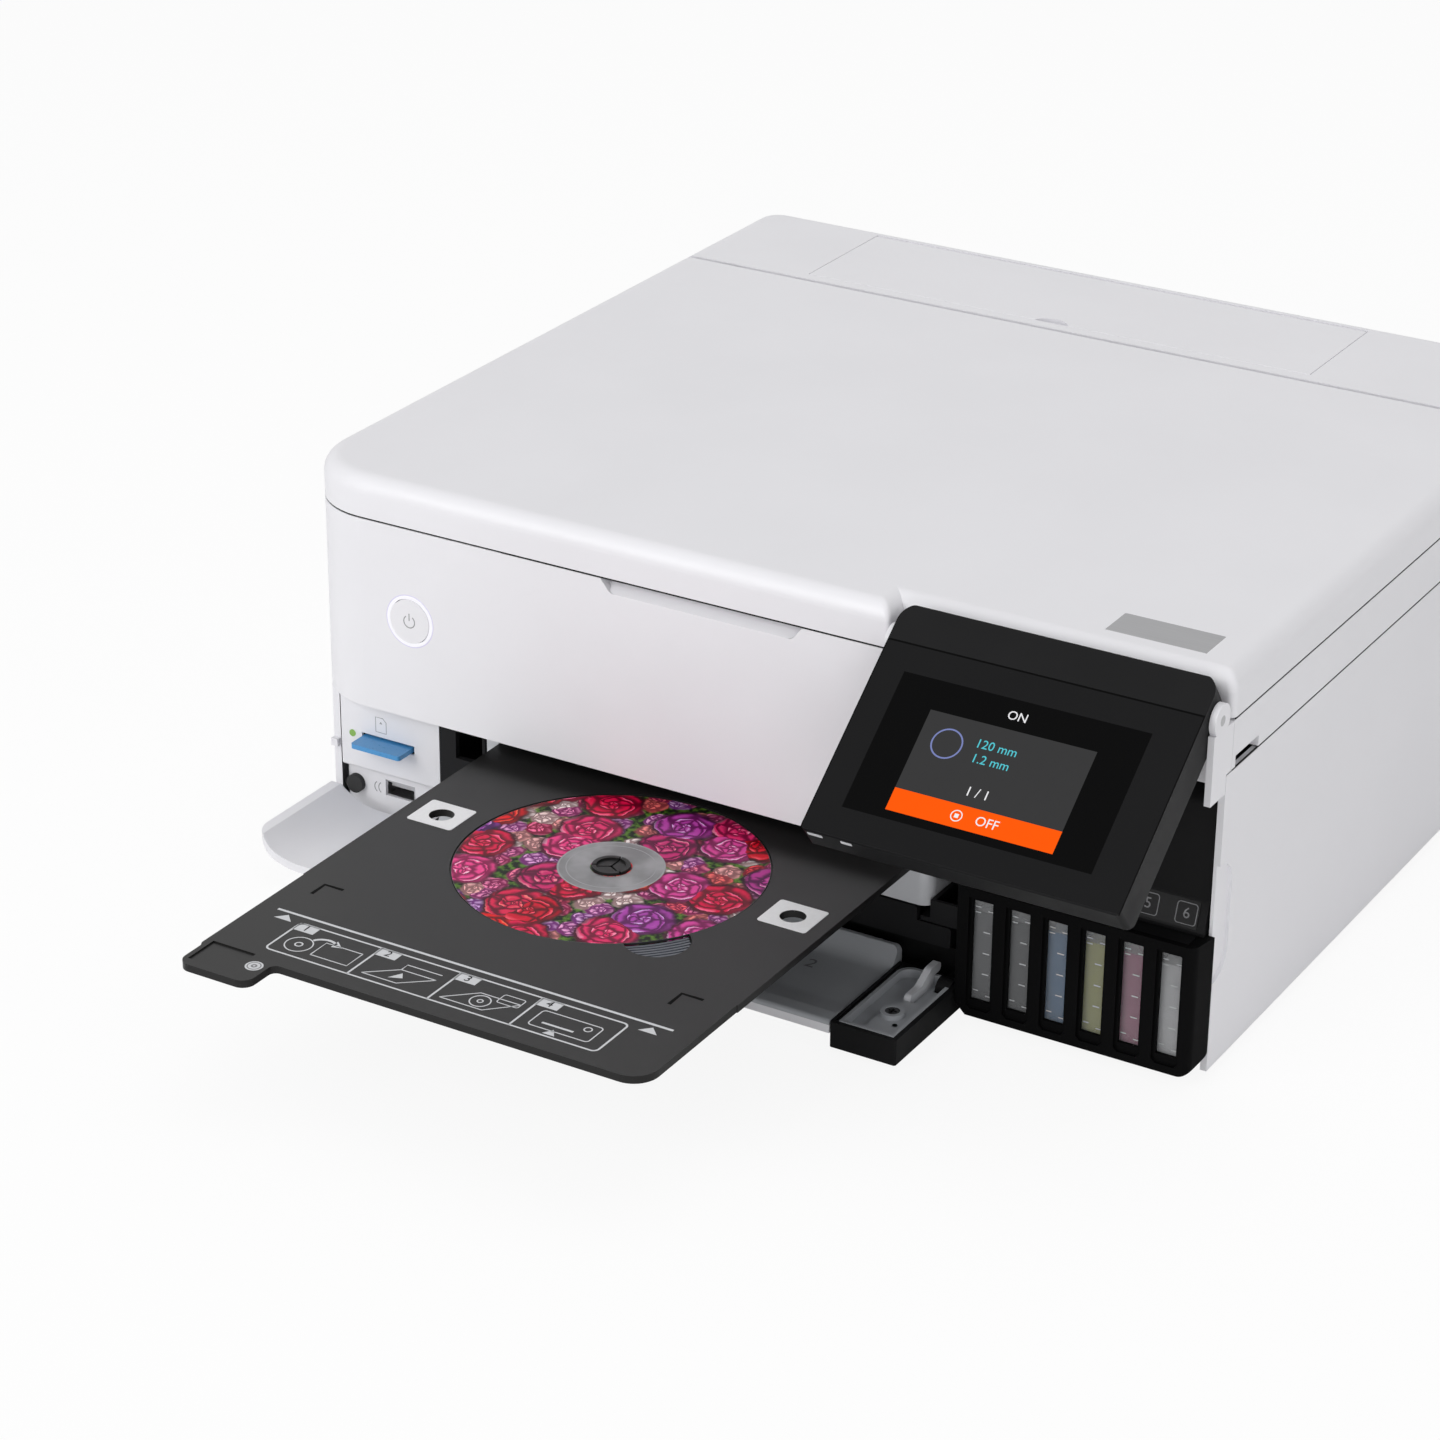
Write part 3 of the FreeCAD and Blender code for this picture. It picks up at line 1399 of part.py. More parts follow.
# Feed roller on a shaft that turns in the bay walls.
roller = rod(
    "roller",
    "X",
    dim.roller_radius,
    bay_inner[0] + dim.seam,
    bay_inner[1] - bay_inner[0] - dim.seam * 2,
    y=roller_y,
    z=dim.roller_z,
)
roller_shaft = rod(
    "roller_shaft",
    "X",
    dim.roller_pin,
    bay_left,
    bay_right - bay_left,
    y=roller_y,
    z=dim.roller_z,
)
node("feed_roller", join("roller_join", roller, roller_shaft))

# ---------------------------------------------------------------- ink tanks

tank_y = (front + dim.tank_front, front + dim.tank_back)
housing = outline(
    "housing_outer",
    "XY",
    [
        (tank_left, tank_y[0], 1),
        (body_right - dim.tank_lean, tank_y[0], dim.tank_edge),
        (body_right - dim.tank_flush, front + dim.tank_return),
        (inner_right - dim.slip, front + dim.tank_return),
        (inner_right - dim.slip, tank_y[1]),
        (tank_left, tank_y[1]),
    ],
    dim.tank_under,
    dim.tank_top,
)
housing_room = block(
    "housing_room",
    (tank_left + dim.wall, inner_right - dim.slip - dim.wall),
    (tank_y[0] + dim.wall, tank_y[1] - dim.wall),
    (dim.tank_under + dim.wall, dim.tank_top + 1),
)
housing_face = outline(
    "housing_face",
    "XZ",
    [
        (tank_left, dim.tank_top),
        (tank_left, dim.tank_under + dim.tank_chamfer),
        (tank_left + dim.tank_chamfer, dim.tank_under),
        (body_right, dim.tank_under, dim.tank_round),
        (body_right, dim.tank_top),
    ],
    tank_y[0] - 1,
    tank_y[1] + 1,
)
well_low = dim.window_low - dim.well_lip
windows = []
for i in range(TANKS):
    left = tank_left + dim.window_first + dim.window_pitch * i
    windows.append(
        block(
            f"window_{i + 1}",
            (left, left + dim.window_width),
            (tank_y[0] - 1, tank_y[0] + dim.wall + 1),
            (dim.window_low, dim.window_high),
        )
    )
    windows.append(
        outline(
            f"well_{i + 1}",
            "XZ",
            [
                (left - dim.well_rim, well_low + dim.well_chamfer),
                (left - dim.well_rim + dim.well_chamfer, well_low),
                (left + dim.window_width + dim.well_rim - dim.well_chamfer, well_low),
                (left + dim.window_width + dim.well_rim, well_low + dim.well_chamfer),
                (left + dim.window_width + dim.well_rim, dim.window_high + dim.well_rim),
                (left - dim.well_rim, dim.window_high + dim.well_rim),
            ],
            tank_y[0] - 1,
            tank_y[0] + dim.well_rim,
        )
    )
node(
    "tank_housing",
    cut("housing_cut", shared("housing_rounded", housing, housing_face), housing_room, *windows),
)

bottles, inks, caps = [], [], []
bottle_y = (tank_y[0] + dim.wall + dim.slip, tank_y[1] - dim.wall - dim.slip)
bottle_low = dim.tank_under + dim.wall
neck_y = front + dim.hood_face + dim.neck_setback
neck_top = dim.tank_top + dim.neck_height
bottle_top = dim.tank_top - dim.bottle_drop
for i in range(TANKS):
    middle = tank_left + dim.window_first + dim.window_pitch * i + dim.window_width / 2
    inside = across(middle, dim.bottle_width - dim.bottle_wall * 2)
    inside_y = (bottle_y[0] + dim.bottle_wall, bottle_y[1] - dim.bottle_wall)
    outer = block(
        f"bottle_outer_{i + 1}", across(middle, dim.bottle_width), bottle_y, (bottle_low, bottle_top)
    )
    neck = block(
        f"neck_{i + 1}",
        across(middle, dim.neck_width),
        across(neck_y, dim.neck_width),
        (bottle_top - dim.bottle_wall, neck_top),
    )
    room = block(
        f"bottle_room_{i + 1}",
        inside,
        inside_y,
        (bottle_low + dim.bottle_wall, bottle_top - dim.bottle_wall),
    )
    bottles.append(cut(f"bottle_{i + 1}", join(f"bottle_join_{i + 1}", outer, neck), room))
    inks.append(
        block(f"ink_{i + 1}", inside, inside_y, (bottle_low + dim.bottle_wall, dim.ink_level))
    )
    # The cap's front slopes up to the edge that a finger lifts.
    caps.append(
        outline(
            f"cap_{i + 1}",
            "YZ",
            [
                (neck_y - dim.cap_length / 2, neck_top),
                (neck_y - dim.cap_length / 2, neck_top + dim.cap_height / 2),
                (neck_y - dim.cap_length / 4, neck_top + dim.cap_height),
                (neck_y + dim.cap_length / 2, neck_top + dim.cap_height),
                (neck_y + dim.cap_length / 2, neck_top),
            ],
            middle - dim.cap_width / 2,
            middle + dim.cap_width / 2,
        )
    )
node("ink_tanks", group("bottle_set", *bottles))
node("inks", group("ink_set", *inks))
node("tank_caps", group("cap_set", *caps))

hood_y = (front + dim.hood_face, tank_y[1])
hood_right = inner_right - dim.slip - dim.hood_inset
hood = outline(
    "hood_side",
    "YZ",
    [
        (hood_y[0] - dim.strip_slope, dim.tank_top),
        (hood_y[0] - dim.strip_slope, dim.strip_low - dim.seam),
        (hood_y[0], dim.strip_high + dim.seam),
        (hood_y[0], hood_top, dim.hood_round),
        (hood_y[1], hood_top, dim.hood_heel),
        (hood_y[1], dim.tank_top),
    ],
    tank_left,
    hood_right,
)
hood_room = block(
    "hood_room",
    (tank_left + dim.wall, hood_right - dim.wall),
    (hood_y[0] + dim.wall, hood_y[1] - dim.wall),
    (dim.tank_top - 1, hood_top - dim.wall),
)
strip_x = (tank_left + dim.strip_left, hood_right - dim.strip_right)
strip_foot = (hood_y[0] - dim.strip_slope * 0.93, dim.strip_low)
strip_head = (hood_y[0] - dim.strip_slope * 0.07, dim.strip_high)


def strip_section(name, out, span):
    """The strip's section, from `out` in front of the cover's slope down to its seat."""
    depth = dim.strip_inset
    lean = dim.strip_slope / (dim.strip_high - dim.strip_low)
    return outline(
        name,
        "YZ",
        [
            (strip_foot[0] - out, strip_foot[1] + lean * out),
            (strip_head[0] - out, strip_head[1] + lean * out),
            (strip_head[0] + depth, strip_head[1] - lean * depth),
            (strip_foot[0] + depth, strip_foot[1] - lean * depth),
        ],
        span[0],
        span[1],
    )


strip_seat = strip_section("strip_seat", 1, strip_x)
node("tank_cover", cut("hood_cut", hood, hood_room, strip_seat))
node(
    "tank_strip",
    strip_section("strip", 0, (strip_x[0] + dim.strip_play, strip_x[1] - dim.strip_play)),
)

# ---------------------------------------------------------------- front cover, lying open

under = dim.cover_under
cover_y = (front + dim.cover_front, front + dim.cover_back)
cover_axis_y = front + dim.cover_axis_y
# The skin's section: flat below, then the same round as the body's front corner.
skin = outline(
    "cover_section",
    "XZ",
    [
        (end_left - dim.slip, under),
        (body_left, under, dim.corner_round),
        (body_left, under + dim.corner_round + dim.wall),
        (body_left + dim.cover_skin, under + dim.corner_round + dim.wall),
        (body_left + dim.cover_skin, under + dim.cover_skin, dim.corner_round - dim.cover_skin),
        (end_left - dim.slip, under + dim.cover_skin),
    ],
    cover_y[0],
    cover_y[1],
)
curl_end = block(
    "curl_end",
    (body_left - 1, lining_left),
    (cover_y[0] - 1, cover_y[1] + 1),
    (under + dim.cover_wrap, under + dim.corner_round * 2),
)
# Hinge: a pin through a knuckle of the base, near the cover's left end.
knuckle_x = across(knuckle_middle, dim.knuckle_width)
knuckle_room = block(
    "knuckle_room",
    (knuckle_x[0] - dim.slip, knuckle_x[1] + dim.slip),
    (cover_axis_y - dim.knuckle_radius - dim.seam, cover_y[1] + 1),
    (under - 1, dim.lining_lip + 1),
)
cover_pin_bore = rod(
    "cover_pin_bore",
    "X",
    dim.cover_pin + dim.running_fit,
    knuckle_x[0] - dim.cover_pin_reach - 0.5,
    dim.knuckle_width + dim.cover_pin_reach * 2 + 1,
    y=cover_axis_y,
    z=dim.cover_axis_z,
)
skin_plan = outline(
    "skin_plan",
    "XY",
    [
        (body_left + dim.curl_inset, cover_y[0], dim.cover_round),
        (end_left, cover_y[0]),
        (end_left, cover_y[1]),
        (body_left + dim.curl_inset, cover_y[1]),
    ],
    under - 1,
    under + dim.corner_round,
)
node(
    "cover_skin",
    cut("skin_cut", shared("skin_rounded", skin, skin_plan), curl_end, knuckle_room, cover_pin_bore),
)

lining_x = (lining_left, end_left - dim.slip)
lining_floor = dim.cover_top - dim.lining_dish
lining = outline(
    "lining_section",
    "YZ",
    [
        (cover_y[0], under + dim.cover_skin),
        (cover_y[0], dim.cover_top, 1.5),
        (cover_y[0] + dim.lining_rim, dim.cover_top + 0.4, 2),
        (cover_y[0] + dim.lining_slope, lining_floor, 20),
        (cover_y[1] - dim.lining_heel, lining_floor, 7),
        (cover_y[1] - dim.lining_edge, dim.lining_lip, 0.6),
        (cover_y[1], dim.lining_lip, 0.6),
        (cover_y[1], under + dim.cover_skin),
    ],
    lining_x[0],
    lining_x[1],
)
lining_face = outline(
    "lining_face",
    "XZ",
    [
        (lining_x[0], under + dim.cover_skin),
        (lining_x[0], dim.lining_lip + 0.01, 3),
        (lining_x[1], dim.lining_lip + 0.01, 3),
        (lining_x[1], under + dim.cover_skin),
    ],
    cover_y[0] - 1,
    cover_y[1] + 1,
)
node(
    "cover_lining",
    cut("lining_cut", shared("lining_rounded", lining, lining_face), knuckle_room),
)

end_y = (cover_y[0] - dim.end_proud, front + dim.end_back)
end_block = outline(
    "end_outer",
    "XY",
    [
        (end_left, end_y[0], 1),
        (end_right, end_y[0], 1),
        (end_right, end_y[1]),
        (end_left, end_y[1]),
    ],
    dim.end_under,
    dim.cover_top,
)
floor_low = dim.cover_top - dim.end_recess - dim.end_floor
rest = (end_left + dim.end_wall + 1, end_right - dim.end_wall)
rest_y = (end_y[0] + dim.end_wall, end_y[1] - dim.end_wall)


def end_plan(name, inset, near_round, far_round, low, high):
    """The black end's recess seen from above, smaller by an inset on every side."""
    return outline(
        name,
        "XY",
        [
            (rest[0] + inset, rest_y[0] + inset),
            (rest[1] - inset, rest_y[0] + inset),
            (rest[1] - inset, rest_y[1] - inset, near_round),
            (rest[0] + inset, rest_y[1] - inset, far_round),
        ],
        low,
        high,
    )


end_room = end_plan("end_room", as_size(0), 3, 6, floor_low, dim.cover_top + 1)
barrel_x = across(barrel_middle, dim.barrel_width)
barrel_room = block(
    "barrel_room",
    (barrel_x[0] - dim.slip, barrel_x[1] + dim.slip),
    (cover_axis_y - dim.barrel_radius - dim.seam, end_y[1] + 1),
    (0, dim.cover_top + 1),
)
pin_start = barrel_x[0] - dim.slip - 1
end_pin_bore = rod(
    "end_pin_bore",
    "X",
    dim.cover_pin + dim.running_fit,
    pin_start - dim.slip,
    end_right - pin_start + 1,
    y=cover_axis_y,
    z=dim.cover_axis_z,
)
end_groove = block(
    "end_groove",
    across(end_left + dim.groove_inset, dim.groove_width),
    (end_y[0] + 1.5, end_y[1] - 1.5),
    (dim.cover_top - dim.groove_depth, dim.cover_top + 1),
)
node("cover_end", cut("end_cut", end_block, end_room, barrel_room, end_pin_bore, end_groove))

end_tray = end_plan("end_tray_outer", as_size(0), 3, 6, floor_low, dim.cover_top + 0.3)
end_tray_room = end_plan(
    "end_tray_room", dim.end_tray_wall, 2, 5, dim.cover_top - dim.end_recess, dim.cover_top + 1
)
raised_left = end_left + dim.raised_inset
raised_back = end_y[0] + dim.raised_back
raised = outline(
    "raised_plate",
    "XY",
    [
        (raised_left, end_y[0] + 3),
        (end_right - 3, end_y[0] + 3),
        (end_right - 3, raised_back, 3),
        (raised_left + dim.raised_bevel, raised_back),
        (raised_left, raised_back - dim.raised_bevel_back),
    ],
    floor_low,
    dim.cover_top - dim.raised_drop,
)
boss_x = end_left + dim.boss_x
boss_y = end_y[0] + dim.boss_y
screw_low = dim.cover_top - dim.screw_sink
boss = rod("boss_ring", "Z", dim.boss_radius, dim.cover_top - 2, dim.boss_height, boss_x, boss_y)
boss_seat = rod("boss_seat", "Z", dim.screw_radius, screw_low, 5, boss_x, boss_y)
plate_hole = rod(
    "plate_hole",
    "Z",
    1,
    dim.cover_top - dim.raised_drop - 1,
    5,
    boss_x + dim.plate_hole_x,
    boss_y - dim.plate_hole_y,
)
node(
    "cover_plate",
    cut(
        "plate_cut",
        join("plate_join", cut("plate_base", end_tray, end_tray_room), raised, boss),
        boss_seat,
        plate_hole,
        barrel_room,
        end_pin_bore,
    ),
)
screw = rod("screw_disc", "Z", dim.screw_radius, screw_low, dim.screw_height, boss_x, boss_y)
cross = []
for name, size_x, size_y in (
    ("one", dim.cross_length, dim.cross_width),
    ("two", dim.cross_width, dim.cross_length),
):
    cross.append(
        block(
            f"screw_cross_{name}",
            across(boss_x, size_x),
            across(boss_y, size_y),
            (screw_low + 0.5, dim.cover_top + 2),
        )
    )
node("cover_screw", cut("screw_cut", screw, *cross))

# Curved arm that damps the cover's fall and hooks over the back of the black end.
arm_x = (end_right - dim.arm_inset, end_right - dim.arm_inset + dim.arm_width)
arm_front = raised_back + dim.slip
arm_hook = dim.cover_top + dim.seam
node(
    "cover_arm",
    outline(
        "arm_shape",
        "YZ",
        [
            (arm_front, dim.cover_top - dim.end_recess),
            (arm_front, dim.cover_top + dim.arm_lift, 2),
            (front - dim.arm_shoulder, dim.cover_top + dim.arm_lift, 4),
            (front - 1, dim.cover_top + dim.arm_rise, 5),
            (front + dim.arm_reach, dim.cover_top + dim.arm_rise, dim.arm_round),
            (front + dim.arm_reach, arm_hook, dim.arm_round),
            (front + 1, arm_hook, 1),
            (front + 1, dim.cover_top - dim.end_recess),
        ],
        arm_x[0],
        arm_x[1],
    ),
)

# Hinge pins and the knuckles that stand out from the base.
knuckle = outline(
    "knuckle_shape",
    "YZ",
    [
        (cover_axis_y - dim.knuckle_radius, dim.cover_axis_z - dim.knuckle_radius, dim.knuckle_round),
        (cover_axis_y - dim.knuckle_radius, dim.cover_axis_z + dim.knuckle_radius, dim.knuckle_round),
        (front + dim.base_front, dim.cover_axis_z + dim.knuckle_radius),
        (front + dim.base_front, dim.cover_axis_z - dim.knuckle_radius),
    ],
    knuckle_x[0],
    knuckle_x[1],
)
barrel = rod(
    "barrel", "X", dim.barrel_radius, barrel_x[0], dim.barrel_width, y=cover_axis_y, z=dim.cover_axis_z
)
barrel_post = block(
    "barrel_post",
    barrel_x,
    (cover_axis_y, front + dim.base_front),
    (dim.foot_height + 1, dim.cover_axis_z + dim.thin_wall),
)
pin_hole = rod(
    "pin_hole", "X", dim.cover_pin, body_left, dim.body_width, y=cover_axis_y, z=dim.cover_axis_z
)
node(
    "cover_knuckles",
    group(
        "knuckle_set",
        cut("knuckle_bored", knuckle, pin_hole),
        cut("barrel_bored", join("barrel_joined", barrel, barrel_post), pin_hole),
    ),
)
node(
    "cover_pins",
    group(
        "cover_pin_set",
        rod(
            "cover_pin_left",
            "X",
            dim.cover_pin,
            knuckle_x[0] - dim.cover_pin_reach,
            dim.knuckle_width + dim.cover_pin_reach * 2,
            y=cover_axis_y,
            z=dim.cover_axis_z,
        ),
        rod(
            "cover_pin_right", "X", dim.cover_pin, pin_start, end_right - pin_start - dim.slip,
            y=cover_axis_y, z=dim.cover_axis_z,
        ),
    ),
)

# ---------------------------------------------------------------- disc tray

tray_low = dim.tray_level
tray_high = dim.tray_level + dim.tray_thickness
tray_front = front + dim.tray_front
tab_x = (tray_x[0] + 1, tray_x[0] + 1 + dim.tab_width)
tray_body = outline(
    "tray_body",
    "XY",
    [
        (tray_x[0] - dim.tray_step, front + dim.tray_back, dim.tray_tail),
        (tray_x[0] - dim.tray_step, front + dim.tray_stop),
        (tray_x[0], front + dim.tray_stop - dim.tray_step),
        (tray_x[0], tray_front, dim.tray_nick),
        (tab_x[0], tray_front - 2),
        (tab_x[0], tray_front - dim.tab_length, dim.tab_round),
        (tab_x[1], tray_front - dim.tab_length, dim.tab_round),
        (tab_x[1], tray_front, 3),
        (tray_x[1], tray_front, dim.tray_corner),
        (tray_x[1], front + dim.tray_stop - dim.tray_step),
        (tray_x[1] + dim.tray_step, front + dim.tray_stop),
        (tray_x[1] + dim.tray_step, front + dim.tray_back, dim.tray_tail),
    ],
    tray_low,
    tray_high,
)
disc_y = front + dim.disc_y
pocket_floor = tray_high - dim.pocket_depth
pocket_well = rod(
    "disc_pocket", "Z", dim.disc_radius + dim.pocket_play, pocket_floor, 5, paper_middle, disc_y
)
notch_place = (dim.disc_radius + dim.pocket_play) * 0.707
finger_notch = rod(
    "finger_notch",
    "Z",
    dim.notch_radius,
    pocket_floor,
    5,
    paper_middle + notch_place + dim.notch_shift,
    disc_y - notch_place + dim.notch_shift,
)
tab_recess = block(
    "tab_recess",
    (tab_x[0] + 2, tab_x[0] + 2 + dim.tab_dish_width),
    (tray_front + 3 - dim.tab_dish_length, tray_front + 3),
    (tray_high - dim.tab_dish_depth, tray_high + 1),
)
sensors = []
label_parts = []
label_y = disc_y + dim.sensor_y
for side, name in ((-1, "left"), (1, "right")):
    x = paper_middle + dim.sensor_x * side
    sensors.append(rod(f"sensor_{name}", "Z", dim.sensor_radius, tray_low - 1, 6, x, label_y))
    square = outline(
        f"label_{name}",
        "XY",
        [
            (x - dim.label_side / 2, label_y - dim.label_depth / 2, dim.label_round),
            (x + dim.label_side / 2, label_y - dim.label_depth / 2, dim.label_round),
            (x + dim.label_side / 2, label_y + dim.label_depth / 2, dim.label_round),
            (x - dim.label_side / 2, label_y + dim.label_depth / 2, dim.label_round),
        ],
        tray_high,
        tray_high + dim.label_thickness,
    )
    opening = rod(f"label_hole_{name}", "Z", dim.sensor_radius, tray_high - 1, 4, x, label_y)
    label_parts.append(cut(f"label_cut_{name}", square, opening))
node("disc_tray", cut("tray_cut", tray_body, pocket_well, finger_notch, tab_recess, *sensors))
node("tray_labels", group("label_set", *label_parts))

hub_top = pocket_floor + dim.hub_height
hub_disc = rod("hub_disc", "Z", dim.hub_radius, pocket_floor, dim.hub_height, paper_middle, disc_y)
hub_floor = hub_top - dim.hub_dish
hub_dish = rod(
    "hub_dish", "Z", dim.hub_radius - dim.thin_wall, hub_floor, 3, paper_middle, disc_y
)
hub_slits = []
for i in range(3):
    slit = block(
        f"hub_slit_{i + 1}",
        across(as_size(0), dim.hub_slit),
        (as_size(0), dim.hub_radius + 1),
        (as_size(-1), dim.hub_height * 3),
    )
    turn = FreeCAD.Rotation(FreeCAD.Vector(0, 0, 1), THIRD_TURN * i)
    holder = doc.addObject("Part::Compound", f"hub_slit_turned_{i + 1}")
    holder.Links = [slit]
    holder.Placement = FreeCAD.Placement(FreeCAD.Vector(), turn)
    put(holder, paper_middle, disc_y, hub_floor)
    hub_slits.append(holder)
node("disc_hub", cut("hub_cut", hub_disc, hub_dish, *hub_slits))

disc = rod(
    "disc_plate", "Z", dim.disc_radius, pocket_floor, dim.disc_thickness, paper_middle, disc_y
)
disc_hole = rod("disc_hole", "Z", dim.disc_hole, pocket_floor - 1, 5, paper_middle, disc_y)
node("printed_disc", cut("disc_cut", disc, disc_hole))

# ---------------------------------------------------------------- scanner unit

fascia_right = screen_left - dim.screen_play
panel_well = dim.hood_face
unit_back = front + dim.lid_back + dim.seam
side_start = front + dim.corner_round + 1
front_wall = outline(
    "front_wall",
    "XY",
    [
        (body_left, side_start),
        (body_left, front, dim.corner_round),
        (fascia_right, front, 0.8),
        (fascia_right, front + panel_well),
        (tank_left - dim.seam, front + panel_well),
        (tank_left - dim.seam, front + panel_well + dim.wall),
        (fascia_right - dim.wall, front + panel_well + dim.wall),
        (fascia_right - dim.wall, front + dim.wall),
        (inner_left, front + dim.wall, inner_round),
        (inner_left, side_start),
    ],
    dim.fascia_bottom,
    unit_top,
)
behind_panel = block(
    "behind_panel",
    (tank_left - dim.seam - dim.wall, inner_right - dim.wall),
    (front + panel_well, front + panel_well + dim.wall),
    (hood_top + dim.seam, unit_top),
)
end_x = (screen_right + dim.slip, body_right)
end_back = front + panel_well + dim.wall
right_end = block(
    "right_end",
    end_x,
    (front + dim.screen_axis_y - dim.ear_radius, front + dim.tank_return),
    (hood_top - dim.seam, unit_top),
)
right_end_web = block(
    "right_end_web", end_x, (front + dim.tank_return - 1, end_back), (unit_bottom, unit_top)
)
right_end_foot = block(
    "right_end_foot",
    (inner_right - dim.wall - 1, body_right),
    (front + panel_well, end_back),
    (unit_bottom, unit_top),
)
axis_y = front + dim.screen_axis_y
ear_left = rod(
    "panel_ear_left", "X", dim.ear_radius, fascia_right - dim.wall, dim.wall, y=axis_y, z=screen_axis_z
)
ear_right = rod(
    "panel_ear_right",
    "X",
    dim.ear_radius,
    screen_right + dim.slip,
    half_width - screen_right - dim.slip,
    y=axis_y,
    z=screen_axis_z,
)
panel_pin_hole = rod(
    "panel_pin_hole", "X", dim.pin_radius, body_left, dim.body_width + 2, y=axis_y, z=screen_axis_z
)
button_y = front - dim.button_proud
ring_seat = rod(
    "ring_seat", "Y", dim.ring_radius, front - 1, dim.thin_wall, button_x, z=button_z
)
button_bore = rod(
    "button_bore",
    "Y",
    dim.button_radius + dim.slip,
    front - 1,
    dim.wall + 2,
    button_x,
    z=button_z,
)
flange_radius = dim.button_radius + dim.button_flange
sleeve_width = (flange_radius + dim.slip + dim.thin_wall) * 2
sleeve = block(
    "button_sleeve",
    across(button_x, sleeve_width),
    (front + dim.wall / 2, front + dim.sleeve_depth),
    across(button_z, sleeve_width),
)
sleeve_room = block(
    "sleeve_room",
    across(button_x, sleeve_width - dim.thin_wall * 2),
    (front + dim.wall, front + dim.sleeve_depth - dim.thin_wall),
    across(button_z, sleeve_width - dim.thin_wall * 2),
)
grip = (dim.grip_left, dim.grip_right)
grip_span = (grip[0] - dim.grip_slant - dim.wall, grip[1] + dim.grip_slant + dim.wall)
front_grip = outline(
    "front_grip",
    "XZ",
    [
        (grip[0], grip_low, 3),
        (grip[1], grip_low, 3),
        (grip[1] + dim.grip_slant, unit_top + 1),
        (grip[0] - dim.grip_slant, unit_top + 1),
    ],
    front - 1,
    front + dim.grip_depth,
)
node(
    "front_panel",
    cut(
        "front_panel_cut",
        join(
            "front_panel_join",
            front_wall,
            behind_panel,
            right_end,
            right_end_web,
            right_end_foot,
            ear_left,
            ear_right,
            sleeve,
        ),
        panel_pin_hole,
        sleeve_room,
        button_bore,
        ring_seat,
        front_grip,
    ),
)
ring_outer = rod(
    "ring_outer", "Y", dim.ring_radius, front - dim.ring_proud, dim.ring_depth, button_x, z=button_z
)
ring_inner = rod(
    "ring_inner", "Y", dim.button_radius + dim.slip, front - 1, 4, button_x, z=button_z
)
node("power_ring", cut("ring_cut", ring_outer, ring_inner))
button = join(
    "button_join",
    rod("button_cap", "Y", dim.button_radius, button_y, dim.wall + 1.6, button_x, z=button_z),
    rod(
        "button_flange",
        "Y",
        flange_radius,
        front + dim.wall + dim.slip,
        dim.flange_thickness,
        button_x,
        z=button_z,
    ),
)
node("power_button", button)

# Frame of the scanner unit: a tray with a ledge that carries the bezel.
frame_front = front + dim.wall + dim.slip
frame_notch = front + panel_well + dim.wall + dim.slip
frame_outer = outline(
    "frame_outer",
    "XY",
    [
        (body_left, unit_back),
        (body_left, side_start + dim.slip),
        (inner_left + dim.slip, side_start + dim.slip),
        (inner_left + dim.slip, frame_front, inner_round - dim.slip),
        (fascia_right - dim.wall - dim.slip, frame_front),
        (fascia_right - dim.wall - dim.slip, frame_notch),
        (body_right, frame_notch),
        (body_right, unit_back),
    ],
    unit_bottom,
    unit_top,
)
rim = dim.wall * 2
ledge_z = unit_top - dim.wall
frame_room = outline(
    "frame_room",
    "XY",
    [
        (inner_left + rim, unit_back - rim),
        (inner_left + rim, frame_notch + rim, inner_round - rim),
        (inner_right - rim, frame_notch + rim),
        (inner_right - rim, unit_back - rim),
    ],
    unit_bottom + dim.wall,
    unit_top + 1,
)
bezel_seat = outline(
    "bezel_seat",
    "XY",
    [
        (inner_left, unit_back - dim.wall),
        (inner_left, frame_notch + dim.wall, inner_round - dim.wall),
        (inner_right, frame_notch + dim.wall),
        (inner_right, unit_back - dim.wall),
    ],
    ledge_z,
    unit_top + 1,
)
grip_blocks = []
grip_notches = []
for side, name in ((-1, "left"), (1, "right")):
    edge = half_width * side
    inner_edge = edge - dim.side_grip_depth * side
    outer_edge = edge + side
    low, high = (inner_edge, outer_edge) if side > 0 else (outer_edge, inner_edge)
    grip_y = front + (dim.side_grip_front if side > 0 else dim.corner_round + dim.wall * 2)
    grip_notches.append(
        block(
            f"grip_notch_{name}",
            (low, high),
            (grip_y, grip_y + dim.side_grip_length),
            (unit_bottom - 1, unit_bottom + dim.side_grip_height),
        )
    )
    wall_low = low - dim.wall if side > 0 else inner_left
    wall_high = inner_right if side > 0 else high + dim.wall
    grip_blocks.append(
        block(
            f"grip_block_{name}",
            (wall_low, wall_high),
            (grip_y - dim.wall, grip_y + dim.side_grip_length + dim.wall),
            (unit_bottom, unit_bottom + dim.side_grip_height + dim.wall),
        )
    )
front_block = block(
    "front_grip_block",
    grip_span,
    (frame_front, front + dim.grip_depth + dim.wall),
    (grip_low - dim.wall, unit_top),
)
hollow_frame = cut("hollow_frame", frame_outer, frame_room)
seated_frame = cut("seated_frame", hollow_frame, bezel_seat)
node(
    "scanner_frame",
    cut(
        "scanner_frame_cut",
        join("scanner_frame_join", seated_frame, front_block, *grip_blocks),
        front_grip,
        *grip_notches,
    ),
)

